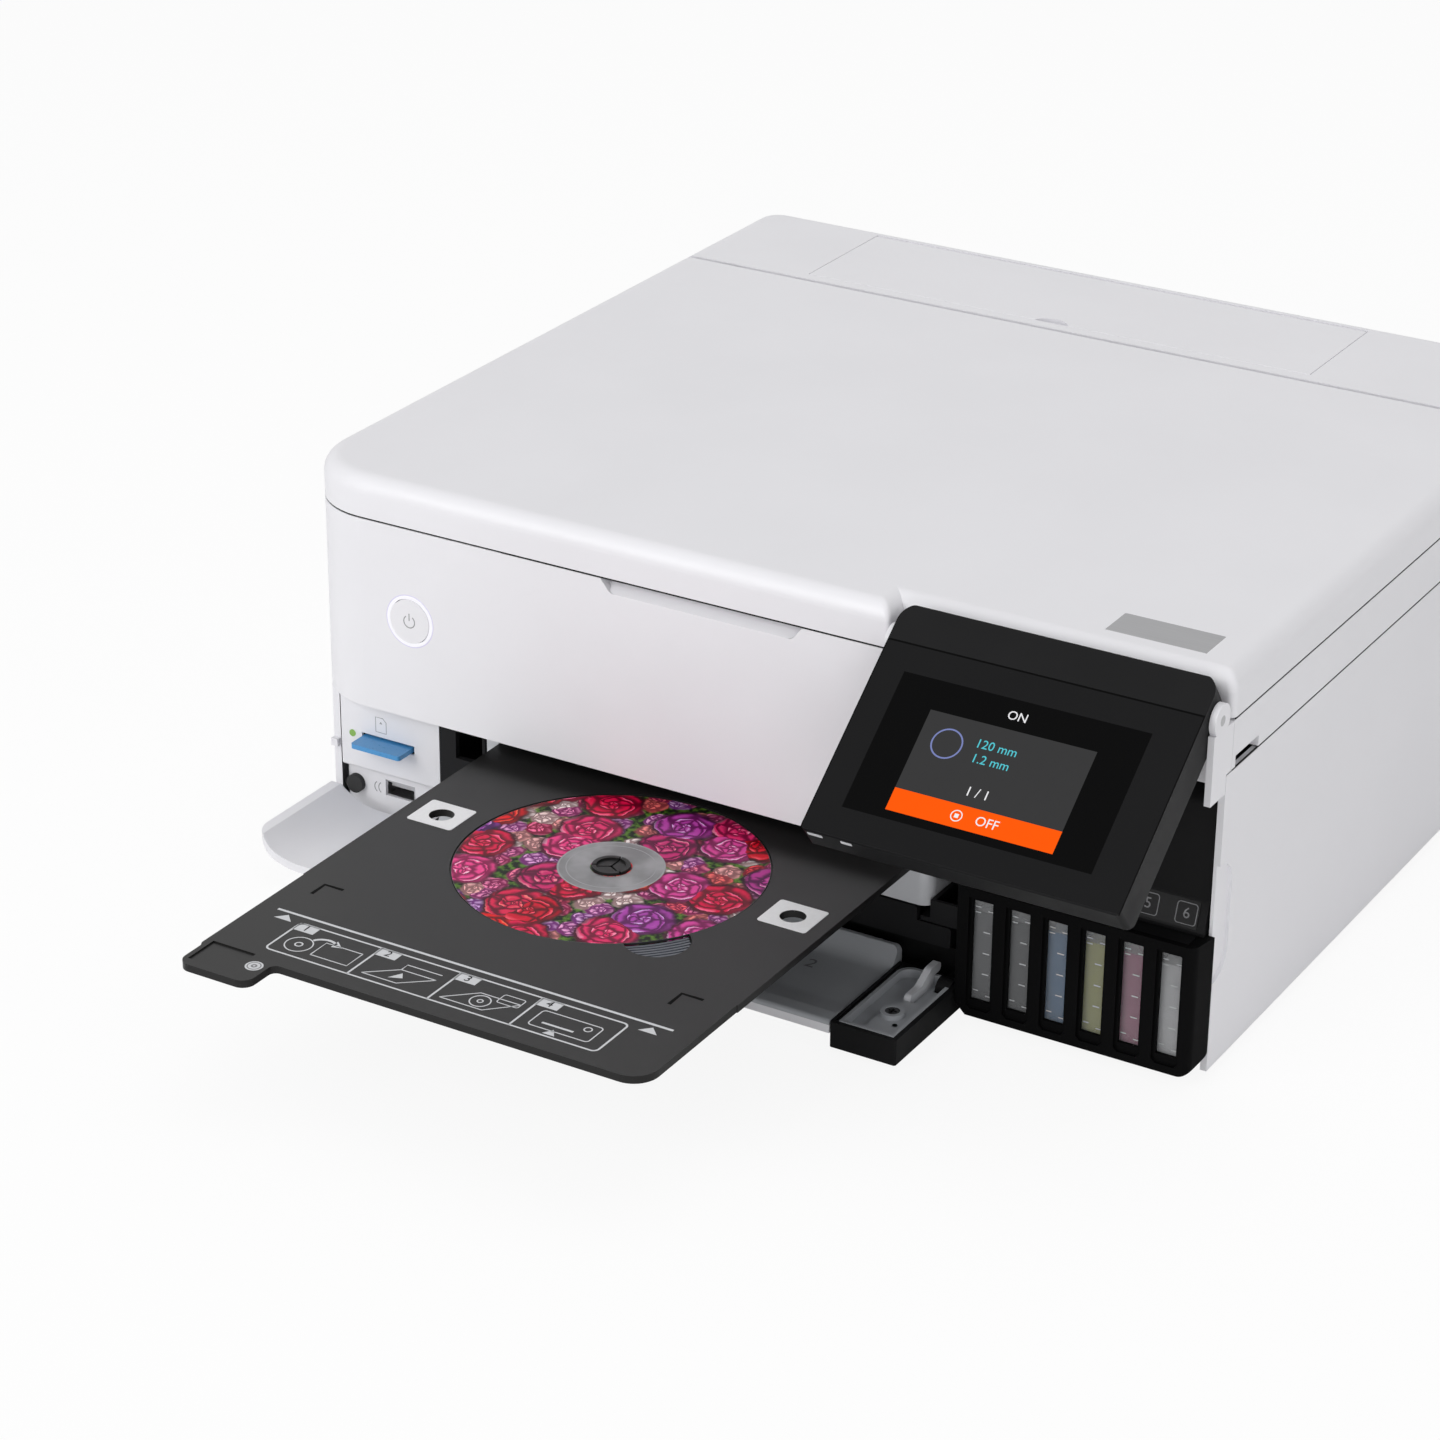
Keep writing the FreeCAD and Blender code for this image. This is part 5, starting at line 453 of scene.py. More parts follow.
FINISHES = {
    "white_cover": white_shell(),
    "black_plastic": black_body(),
    "dark_plastic": dark_inside(),
    "tray_black": tray_black(),
    "gloss_black": black_gloss(),
    "mid_grey": mid_grey(),
    "light_grey": light_grey(),
    "clear_plastic": tank_plastic(),
    "cover_glass": screen_glass(),
    "bed_glass": bed_glass(),
    "steel": ground_steel(),
    "rubber": soft_rubber(),
    "label_white": printed("label_white", (0.78, 0.78, 0.79)),
    "card_blue": printed("card_blue", (0.07, 0.30, 0.62), 0.25),
    "lamp_green": lit("lamp_green", (0.42, 0.75, 0.2), 0.55),
    "pad_white": foam_white(),
    "badge_grey": badge_metal(),
    "disc_print": flower_print(),
}
INKS = {
    "grey_black": (0.075, 0.075, 0.08),
    "photo_black": (0.085, 0.085, 0.09),
    "blue": (0.045, 0.115, 0.22),
    "yellow": (0.27, 0.27, 0.085),
    "magenta": (0.26, 0.075, 0.14),
    "grey": (0.42, 0.42, 0.43),
}


def dress(node, *finishes):
    """Gives a CAD node its finish."""
    nodes[node].data.materials.clear()
    for finish in finishes:
        nodes[node].data.materials.append(finish.material)


for part in frame["record"]["subparts"]:
    if part["material_slot"] in FINISHES:
        dress(part["node"], FINISHES[part["material_slot"]])


def colour_inks():
    """Each tank's ink by its place along the row."""
    finishes = [ink(name, colour) for name, colour in INKS.items()]
    dress("inks", *finishes)
    low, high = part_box("inks")
    pitch = (high.x - low.x) / len(finishes)
    for face in nodes["inks"].data.polygons:
        place = int((face.center.x - low.x) / pitch)
        face.material_index = min(place, len(finishes) - 1)


colour_inks()


# ---------------------------------------------------------------- thin printed marks


FOOT_SHARE = 4  # a mark's underside lies this share of its lift above its ground
SIZE_PER_HEIGHT = 1.38  # the size of a figure's type per mm of its height
FULL_TURN = 360


class Ground:
    """A flat place for marks, measured in mm across and up from its origin."""

    def __init__(self, origin, across, up):
        self.origin = Vector(origin)
        self.across = Vector(across).normalized()
        self.up = Vector(up).normalized()
        self.out = self.across.cross(self.up)

    def at(self, across, up, lift=0.0):
        offset = self.across * across + self.up * up + self.out * lift
        return self.origin + offset * MM

    def frame(self, across, up, lift):
        turn = Matrix((self.across, self.up, self.out)).transposed().to_4x4()
        return Matrix.Translation(self.at(across, up, lift)) @ turn


def arc(x, y, radius, start, stop, steps):
    """Points round an arc, in degrees."""
    angles = [math.radians(start + (stop - start) * i / steps) for i in range(steps + 1)]
    return [(x + radius * math.cos(angle), y + radius * math.sin(angle)) for angle in angles]


def panel(left, low, right, high, corner=0.0):
    """A filled rectangle whose corners may be round."""
    if not corner:
        return [[(left, low), (right, low), (right, high), (left, high)]]
    middles = [
        (right - corner, high - corner, 0),
        (left + corner, high - corner, 90),
        (left + corner, low + corner, 180),
        (right - corner, low + corner, 270),
    ]
    points = []
    for x, y, start in middles:
        points += arc(x, y, corner, start, start + 90, 6)
    return [points]


def strip(points, width, closed=False):
    """Quads that follow a line of points at a width."""
    ends = [Vector(point) for point in points]
    count = len(ends)
    sides = []
    for i, point in enumerate(ends):
        before = ends[i - 1] if i or closed else point
        after = ends[(i + 1) % count] if i + 1 < count or closed else point
        along = (after - before).normalized()
        side = Vector((-along.y, along.x)) * width / 2
        sides.append((point + side, point - side))
    pairs = zip(sides, sides[1:] + sides[:1] if closed else sides[1:])
    return [[a[1], b[1], b[0], a[0]] for a, b in pairs]


def border(left, low, right, high, corner, width):
    """The outline of a rounded rectangle."""
    return strip(panel(left, low, right, high, corner)[0], width, closed=True)


def ring(x, y, inner, outer, start=0, stop=FULL_TURN, steps=48):
    """A flat ring, or a piece of one between two angles."""
    middle = (inner + outer) / 2
    points = arc(x, y, middle, start, stop, steps)
    if stop - start == FULL_TURN:
        return strip(points[:-1], outer - inner, closed=True)
    return strip(points, outer - inner)


def spot(x, y, radius):
    """A filled circle."""
    return [arc(x, y, radius, 0, FULL_TURN, 24)[:-1]]


def mark(name, ground, shapes, finish, body, lift=0.04):
    """Lays flat shapes on a ground as one thin piece with its own small thickness."""
    mesh = bpy.data.meshes.new(name)
    corners, faces = [], []
    foot = lift / FOOT_SHARE
    for shape in shapes:
        first = len(corners)
        count = len(shape)
        corners += [ground.at(x, y, lift) for x, y in shape]
        corners += [ground.at(x, y, foot) for x, y in shape]
        faces.append([first + i for i in range(count)])
        for i in range(count):
            after = (i + 1) % count
            faces.append([first + i, first + count + i, first + count + after, first + after])
    mesh.from_pydata(corners, [], faces)
    mesh.materials.append(finish.material)
    piece = bpy.data.objects.new(name, mesh)
    bpy.context.collection.objects.link(piece)
    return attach(piece, body) or piece


def figure(name, ground, text, x, y, height, finish, slot, body, lift=0.04):
    """A number, its middle at x, y."""
    curve = bpy.data.curves.new(name, "FONT")
    curve.body = text
    curve.align_x = "CENTER"
    curve.align_y = "CENTER"
    curve.size = height * SIZE_PER_HEIGHT * MM
    curve.extrude = lift / FOOT_SHARE * MM
    curve.resolution_u = 3
    curve.materials.append(finish.material)
    piece = bpy.data.objects.new(name, curve)
    bpy.context.collection.objects.link(piece)
    piece.matrix_world = ground.frame(x, y, lift)
    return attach(piece, body) or piece


def face_ground(node, out, across):
    """The ground on a node's widest flat face towards one direction, origin at its top left."""
    out = Vector(out).normalized()
    mesh = nodes[node].data
    facing = [face for face in mesh.polygons if face.normal.dot(out) > 0.999]
    level = max(face.center.dot(out) for face in facing)
    flat = [face for face in facing if level - face.center.dot(out) < 0.1 * MM]
    across = Vector(across)
    up = out.cross(across)
    points = [mesh.vertices[i].co for face in flat for i in face.vertices]
    left = min(point.dot(across) for point in points)
    top = max(point.dot(up) for point in points)
    return Ground(across * left + up * top + out * level, across, up)


X = Vector((1, 0, 0))
Y = Vector((0, 1, 0))
Z = Vector((0, 0, 1))

# ---------------------------------------------------------------- the disc and its tray

PALE = printed("pale_print", (0.62, 0.63, 0.65))
GREY_PRINT = printed("grey_print", (0.30, 0.30, 0.31))
BLACK_PRINT_AND_SHADE = printed("black_print_and_shade", (0.0015, 0.0015, 0.0015), 0.5, Specular_IOR_Level=0.03)
SIGN_GREY = printed("sign_grey", (0.17, 0.17, 0.18))

disc_low, disc_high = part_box("printed_disc")
tray_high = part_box("disc_tray")[1]
disc_middle = (disc_low + disc_high) / 2
DISC_RADIUS = (disc_high.x - disc_low.x) / 2 / MM
disc_top = Ground((disc_middle.x, disc_middle.y, disc_high.z), X, Y)


def dress_disc():
    """Clear ring, stacking ring and bare edges of the disc, in mm."""
    HOLE_RADIUS, CLEAR_RADIUS = 8.0, 20.0
    STACKING_IN, STACKING_OUT = 0.2, 0.5
    LINE_IN, LINE_OUT = 16.8, 17.2
    EDGE_IN, EDGE_OUT = 0.12, 0.1
    BORE_IN, BORE_OUT = 7.42, 7.62
    BELOW, TALL = 1.15, 1.17
    slot, body = "disc_print", "disc_tray"
    clear = ring(0, 0, HOLE_RADIUS, CLEAR_RADIUS, steps=72)
    mark("disc_clear_ring", disc_top, clear, clear_disc(), body)
    rim = printed("disc_rim", (0.30, 0.30, 0.31), 0.2)
    lines = ring(0, 0, CLEAR_RADIUS - STACKING_IN, CLEAR_RADIUS + STACKING_OUT, steps=72)
    lines += ring(0, 0, LINE_IN, LINE_OUT, steps=72)
    mark("disc_stacking_ring", disc_top, lines, rim, body, lift=0.06)
    edges = ring(0, 0, DISC_RADIUS - EDGE_IN, DISC_RADIUS + EDGE_OUT, steps=120)
    edges += ring(0, 0, BORE_IN, BORE_OUT, steps=48)
    under = Ground((disc_middle.x, disc_middle.y, disc_high.z - BELOW * MM), X, Y)
    dark = printed("disc_edge_grey", (0.03, 0.03, 0.032), 0.2)
    mark("disc_edges", under, edges, dark, body, lift=TALL)


dress_disc()


def dress_tray():
    """Marks moulded and printed on the tray, from the printer's front face in mm."""
    top = Ground((0, FRONT, tray_high.z), X, Y)
    slot, body = "label_white", "disc_tray"
    CORNER_MARKS = (
        ((-92, -121.8), (-100.4, -121.8), (-100.4, -130.2)),
        ((64.2, -122.2), (55.3, -122.2), (55.3, -131)),
    )
    CORNER_WIDTH = 1.5
    LINE_LEFT, LINE_RIGHT, LINE_Y, LINE_HALF = -103.8, 66.5, -146.1, 0.6
    ARROWS, ARROW_HALF, ARROW_FOOT, ARROW_TIP = (-97.6, 59.4), 3.8, -151.9, -148
    FRAME_LEFT, FRAME_RIGHT, FRAME_LOW, FRAME_HIGH = -90.2, 51.3, -172.5, -150.6
    FRAME_CORNER, FRAME_WIDTH = 2.2, 0.8
    DIVIDERS, DIVIDER_HALF = (-53.9, -19.3, 15.4), 0.4
    TAB_WIDE, TAB_TALL, STEP_HEIGHT = 9, 5.2, 3.8
    STICKER_X, STICKER_Y, STICKER_RADIUS = -85.2, -185.4, 3.4

    corners = []
    for points in CORNER_MARKS:
        corners += strip(points, CORNER_WIDTH)
    mark("tray_corner_marks", top, corners, BLACK_PRINT_AND_SHADE, body)
    lines = panel(LINE_LEFT, LINE_Y - LINE_HALF, LINE_RIGHT, LINE_Y + LINE_HALF)
    for x in ARROWS:
        lines += [[(x - ARROW_HALF, ARROW_FOOT), (x + ARROW_HALF, ARROW_FOOT), (x, ARROW_TIP)]]
    lines += border(FRAME_LEFT, FRAME_LOW, FRAME_RIGHT, FRAME_HIGH, FRAME_CORNER, FRAME_WIDTH)
    for x in DIVIDERS:
        lines += panel(x - DIVIDER_HALF, FRAME_LOW, x + DIVIDER_HALF, FRAME_HIGH)
    cells = (FRAME_LEFT, *DIVIDERS)
    for x in cells:
        lines += panel(x, FRAME_HIGH - TAB_TALL, x + TAB_WIDE, FRAME_HIGH)
    mark("tray_print", top, lines, PALE, body)
    for count, x in enumerate(cells, start=1):
        figure(
            f"tray_step_{count}",
            top,
            str(count),
            x + TAB_WIDE / 2,
            FRAME_HIGH - TAB_TALL / 2,
            STEP_HEIGHT,
            BLACK_PRINT_AND_SHADE,
            "tray_black",
            body,
            lift=0.08,
        )
    draw_steps(top, cells, FRAME_LOW, FRAME_HIGH)
    draw_notch()
    sticker = spot(STICKER_X, STICKER_Y, STICKER_RADIUS)
    mark("tray_sticker", top, sticker, PALE, body)
    dots = ring(STICKER_X, STICKER_Y, 2.3, 2.7, steps=24)
    dots += ring(STICKER_X, STICKER_Y, 0.5, 1.2, steps=16)
    mark("tray_sticker_print", top, dots, SIGN_GREY, body, lift=0.07)


def draw_notch():
    """Ribbed floor of the finger notch at the disc's edge, in mm from the disc's middle."""
    EDGE, SHIFT, RADIUS, FLOOR = 60.6, 2.5, 12.3, 1.2
    RIBS, RIB_WIDTH = (61.6, 63.4, 65.2, 67.0, 68.8, 70.6), 1.1
    floor = Ground((disc_middle.x, disc_middle.y, disc_high.z - FLOOR * MM), X, Y)
    place = EDGE * math.sqrt(0.5)
    middle = Vector((place + SHIFT, SHIFT - place))
    ribs = []
    for radius in RIBS:
        points = [
            point
            for point in arc(0, 0, radius, -75, -15, 120)
            if (Vector(point) - middle).length < RADIUS
        ]
        if len(points) > 2:
            ribs += strip(points, RIB_WIDTH)
    blue_grey = printed("notch_grey", (0.085, 0.095, 0.115), 0.3)
    mark("notch_ribs", floor, ribs, blue_grey, "disc_tray", lift=0.5)


def draw_steps(top, cells, low, high):
    """Four plain pictures of loading a disc: the disc, the tray, both together, the printer."""
    THIN = 0.5
    DROP = 1.5
    middle = (low + high) / 2 - DROP
    first, second, third, fourth = cells

    def line(left, points, width=THIN):
        return strip([(left + x, middle + y) for x, y in points], width)

    def solid(left, points):
        return [[(left + x, middle + y) for x, y in points]]

    def disc(left, x, y, radius, hole, width, steps, hole_steps):
        outer = ring(left + x, middle + y, radius, radius + THIN, steps=steps)
        inner = ring(left + x, middle + y, hole, hole + width, steps=hole_steps)
        return outer + inner

    lines = disc(first, 9, -1, 5.0, 1.1, 0.6, 32, 20)
    lines += line(first, [(17, -5), (33, -5), (33, 5)])
    lines += line(first, [(17, -5), (17, 5), (33, 5)])
    lines += strip(arc(first + 17, middle + 1, 6, 150, 50, 10), 1.2)
    lines += solid(first, [(20, 8), (20, 3.4), (24, 4.6)])
    lines += line(second, [(4, -6), (15, 3), (30, 3)])
    lines += line(second, [(4, -6), (19, -6), (30, 3)])
    lines += line(second, [(15, 3), (15, 7), (30, 7)])
    lines += solid(second, [(14, -4), (19, -2), (17, 1)])
    lines += line(third, [(3, -6), (14, 4), (31, 4)])
    lines += line(third, [(3, -6), (21, -6), (31, 4)])
    lines += disc(third, 17, -1, 3.6, 0.8, 0.5, 28, 16)
    lines += border(third + 22, middle + 1.5, third + 31, middle + 7.5, 1, 0.4)
    lines += border(fourth + 5, middle - 5.5, fourth + 30, middle + 5.5, 1.5, THIN)
    lines += panel(fourth + 9, middle - 2.6, fourth + 22, middle - 1.6)
    lines += ring(fourth + 25.5, middle + 2, 1.2, 1.7, steps=18)
    lines += solid(fourth, [(13, -8.2), (18, -8.2), (15.5, -4.4)])
    mark("tray_pictures", top, lines, PALE, "disc_tray")


dress_tray()

# ---------------------------------------------------------------- front, connectors and tanks


def dress_front():
    """Light ring and symbol of the power button, and a painted glow of the ring on the fascia round
    it, in mm from the button's middle.
    """
    SYMBOL_IN, SYMBOL_OUT, SYMBOL_START, SYMBOL_STOP = 2.35, 2.8, -235, 55
    STEM_HALF, STEM_LOW, STEM_HIGH = 0.22, 0.4, 3.5
    GLOW_IN, GLOW_OUT = 0.1, 0.5
    low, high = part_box("power_button")
    middle = (low + high) / 2
    button = Ground((middle.x, low.y, middle.z), X, Z)
    dress("power_ring", lit("ring_light", (0.95, 0.94, 1.0), 1.0))
    symbol = ring(0, 0, SYMBOL_IN, SYMBOL_OUT, SYMBOL_START, SYMBOL_STOP, steps=40)
    symbol += panel(-STEM_HALF, STEM_LOW, STEM_HALF, STEM_HIGH)
    mark("power_symbol", button, symbol, GREY_PRINT, "power_button")
    ring_low, ring_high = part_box("power_ring")
    radius = (ring_high.x - ring_low.x) / 2 / MM
    fascia = Ground((middle.x, FRONT, middle.z), X, Z)
    # Painted glow: a lilac ring painted on the fascia just outside the lit power ring, standing in
    # for its light falling there.
    painted_glow = printed("ring_painted_glow", (0.70, 0.67, 0.86))
    edge = ring(0, 0, radius + GLOW_IN, radius + GLOW_OUT, steps=72)
    mark("ring_painted_glow", fascia, edge, painted_glow, "scanner_unit", lift=0.03)


def dress_grip():
    """Sloping floor of the finger recess below the lid's front edge, in mm."""
    LEFT, RIGHT, BELOW, TALL, DEEP, SLANT = -52.0, 28.0, 6.3, 4.7, 7.5, 3.6
    CORNER = ((-0.6, 1.6), (0.4, 0.7), (2.2, 0.1))
    lid_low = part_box("lid_shell")[0]
    foot = Ground((0, FRONT, lid_low.z - BELOW * MM), X, (0, DEEP, TALL))
    rise = math.hypot(DEEP, TALL)
    shape = [(LEFT - SLANT, rise)] + [(LEFT + x, y) for x, y in CORNER]
    shape += [(RIGHT - x, y) for x, y in reversed(CORNER)] + [(RIGHT + SLANT, rise)]
    slot, body = "white_cover", "scanner_unit"
    mark("grip_scoop", foot, [shape], FINISHES[slot], body, lift=0.1)


def dress_connectors():
    """Marks by the card slot and on the lower row, and the port's rim, in mm."""
    CARD_LEFT, CARD_UP = 3.3, 7.4
    WIDE, TALL, NICK, LINE = 2.6, 3.3, 1.6, 0.32
    TIP_HALF, TIP_FOOT, TIP_TOP = 0.7, 0.6, 1.7
    WAVES_LEFT, WAVES_DOWN, WAVES = 12.8, 0.8, (2.6, 4.6)
    RIM = 0.6
    panel_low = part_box("connector_panel")[0]
    card_low, card_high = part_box("memory_card")
    port_low, port_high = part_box("stick_port")
    port_middle = (port_low + port_high) / 2

    face = Ground((0, panel_low.y, 0), X, Z)
    x = (card_low.x + card_high.x) / 2 / MM - CARD_LEFT
    z = (card_low.z + card_high.z) / 2 / MM + CARD_UP
    card = [(x - WIDE, z - TALL), (x + WIDE, z - TALL), (x + WIDE, z + TALL - NICK)]
    card += [(x + WIDE - NICK, z + TALL), (x - WIDE, z + TALL)]
    picture = strip(card, LINE, closed=True)
    picture += [[(x - TIP_HALF, z + TIP_FOOT), (x + TIP_HALF, z + TIP_FOOT), (x, z + TIP_TOP)]]
    mark("card_picture", face, picture, GREY_PRINT, "body")

    lower = Ground((0, port_low.y - 0.4 * MM, 0), X, Z)
    x = port_middle.x / MM - WAVES_LEFT
    z = port_middle.z / MM - WAVES_DOWN
    waves = []
    for place in WAVES:
        waves += ring(x + place, z, 2.5, 2.9, start=125, stop=235, steps=12)
    mark("port_waves", lower, waves, GREY_PRINT, "body")

    wide = (port_high.x - port_low.x) / MM / 2 - RIM / 2
    tall = (port_high.z - port_low.z) / MM / 2 - RIM / 2
    mouth = Ground((port_middle.x, port_low.y, port_middle.z), X, Z)
    rim = border(-wide, -tall, wide, tall, 0.5, RIM)
    mark("port_rim", mouth, rim, FINISHES["steel"], "body")


def dress_tanks():
    """Level marks on the tanks and the numbers above them, in mm."""
    TANKS, TANK_WIDE = 6, 11.6
    LEVELS, LEVEL_LEFT, LEVEL_RIGHT, LEVEL_HALF = (40.8, 31.9, 23.1), 0.3, 2.4, 0.22
    BARS, BAR_NEAR, BAR_FAR, BAR_HALF = (50.9, 48.6, 15.6), 1.6, 3.8, 0.2
    SHORT_BARS, SHORT_NEAR, SHORT_FAR = ((49.7, 50.1), (13.9, 14.3)), 1.4, 3.8
    LABEL_HALF, LABEL_CORNER, LABEL_LINE, NUMBER = 4, 1.2, 0.35, 4.2
    low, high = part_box("ink_tanks")
    pitch = ((high.x - low.x) / MM - TANK_WIDE) / (TANKS - 1)
    walls = Ground((0, low.y, 0), X, Z)
    ticks = []
    middles = [low.x / MM + TANK_WIDE / 2 + pitch * i for i in range(TANKS)]
    for x in middles:
        for z in LEVELS:
            ticks += panel(x - LEVEL_LEFT, z - LEVEL_HALF, x + LEVEL_RIGHT, z + LEVEL_HALF)
        for z in BARS:
            ticks += panel(x - BAR_FAR, z - BAR_HALF, x - BAR_NEAR, z + BAR_HALF)
        for foot, top in SHORT_BARS:
            ticks += panel(x + SHORT_NEAR, foot, x + SHORT_FAR, top)
    moulding = printed("tank_moulding", (0.42, 0.43, 0.44), 0.3)
    mark("tank_levels", walls, ticks, moulding, "body")

    strip_low, strip_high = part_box("tank_strip")
    run, rise = strip_high.y - strip_low.y, strip_high.z - strip_low.z
    lean = Vector((0, run - 0.5 * MM, rise))
    slope = Ground((0, strip_low.y, strip_low.z), X, lean)
    up = lean.length / MM / 2
    slot, body, lift = "gloss_black", "body", 0.06
    for count, x in enumerate(middles, start=1):
        left, right = x - LABEL_HALF, x + LABEL_HALF
        edge = border(left, up - LABEL_HALF, right, up + LABEL_HALF, LABEL_CORNER, LABEL_LINE)
        mark(f"tank_label_{count}", slope, edge, SIGN_GREY, body, lift)
        name = f"tank_number_{count}"
        figure(name, slope, str(count), x, up, NUMBER, SIGN_GREY, slot, body, lift)


def dress_ledge():
    """Dark ledge between the tanks' front wall and their cover, in mm."""
    WALL, BELOW, THICK = 2.6, 1.2, 0.8
    housing_low, housing_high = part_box("tank_housing")
    cover_low, cover_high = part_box("tank_cover")
    ledge = Ground((cover_low.x, housing_low.y, housing_high.z - BELOW * MM), X, Y)
    wide = (cover_high.x - cover_low.x) / MM
    deep = (cover_low.y - housing_low.y) / MM
    shape = panel(WALL, WALL, wide - WALL, deep + 1, 0.5)
    slot = "black_plastic"
    mark("tank_ledge", ledge, shape, FINISHES[slot], "body", lift=THICK)


def dress_seams():
    """Painted shade: dark strips in the gaps below the lid and below the scanner unit, standing in
    for the shadow in those gaps, in mm.
    """
    SETBACK, NEAR, CORNER, BACK, WIDTH, TALL = 0.5, 0.25, 33, 198, 0.3, 0.86
    TURN, PANEL_GAP, RIGHT_START, LEFT_START = -102, 4, 13, 2
    SINK = 0.1
    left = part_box("left_cover")[0].x / MM
    right_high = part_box("right_cover")[1]
    right = right_high.x / MM
    unit_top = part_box("scanner_frame")[1].z
    face = FRONT / MM
    panel_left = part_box("panel_housing")[0].x / MM
    shade = printed("seam_shade", (0.012, 0.012, 0.012), 0.6, Specular_IOR_Level=0.05)
    under_lid = Ground((0, 0, unit_top - SINK * MM), X, Y)
    under_unit = Ground((0, 0, right_high.z - SINK * MM), X, Y)
    corner = arc(left + CORNER, face + CORNER, CORNER - SETBACK, 180, 270, 16)
    corner_path = [(left + SETBACK, BACK), *corner, (TURN, face + SETBACK)]
    front_path = [(TURN, face + NEAR), (panel_left - PANEL_GAP, face + NEAR)]
    right_path = [(right - NEAR, face + RIGHT_START), (right - NEAR, BACK)]
    left_path = [(left + SETBACK, face + CORNER + LEFT_START), (left + SETBACK, BACK)]
    # Painted shade: thin dark strips just inside the seams under the lid and under the scanner
    # unit, where the gaps lie in shadow.
    lid_seam_shade = strip(corner_path, WIDTH) + strip(front_path, WIDTH) + strip(right_path, WIDTH)
    mark("lid_seam_shade", under_lid, lid_seam_shade, shade, "scanner_unit", lift=TALL)
    unit_seam_shade = strip(left_path, WIDTH) + strip(right_path, WIDTH)
    mark("unit_seam_shade", under_unit, unit_seam_shade, shade, "body", lift=TALL)


def dress_cover():
    """The screw, painted shade in the small hole beside it and the figure in the open cover, in mm.
    """
    FLOOR, FIGURE_X, FIGURE_Y, FIGURE_HEIGHT = 12.6, 45.7, -12.3, 6.5
    HOLE_X, HOLE_Y, HOLE_RADIUS, HOLE_FLOOR = 18.0, 10.0, 1.0, 1.7
    dress("cover_screw", screw_steel())
    plate_low, plate_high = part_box("cover_plate")
    plate = Ground((plate_low.x, plate_low.y, plate_high.z - HOLE_FLOOR * MM), X, Y)
    body = "front_cover"
    # Painted shade: a black spot on the floor of the small hole, standing in for the shadow inside
    # it.
    hole = spot(HOLE_X, HOLE_Y, HOLE_RADIUS)
    mark("plate_hole_shade", plate, hole, BLACK_PRINT_AND_SHADE, body)
    lining = Ground((0, FRONT, FLOOR * MM), X, Y)
    place = (FIGURE_X, FIGURE_Y, FIGURE_HEIGHT)
    figure("cover_figure", lining, "2", *place, SIGN_GREY, "mid_grey", body, lift=0.1)


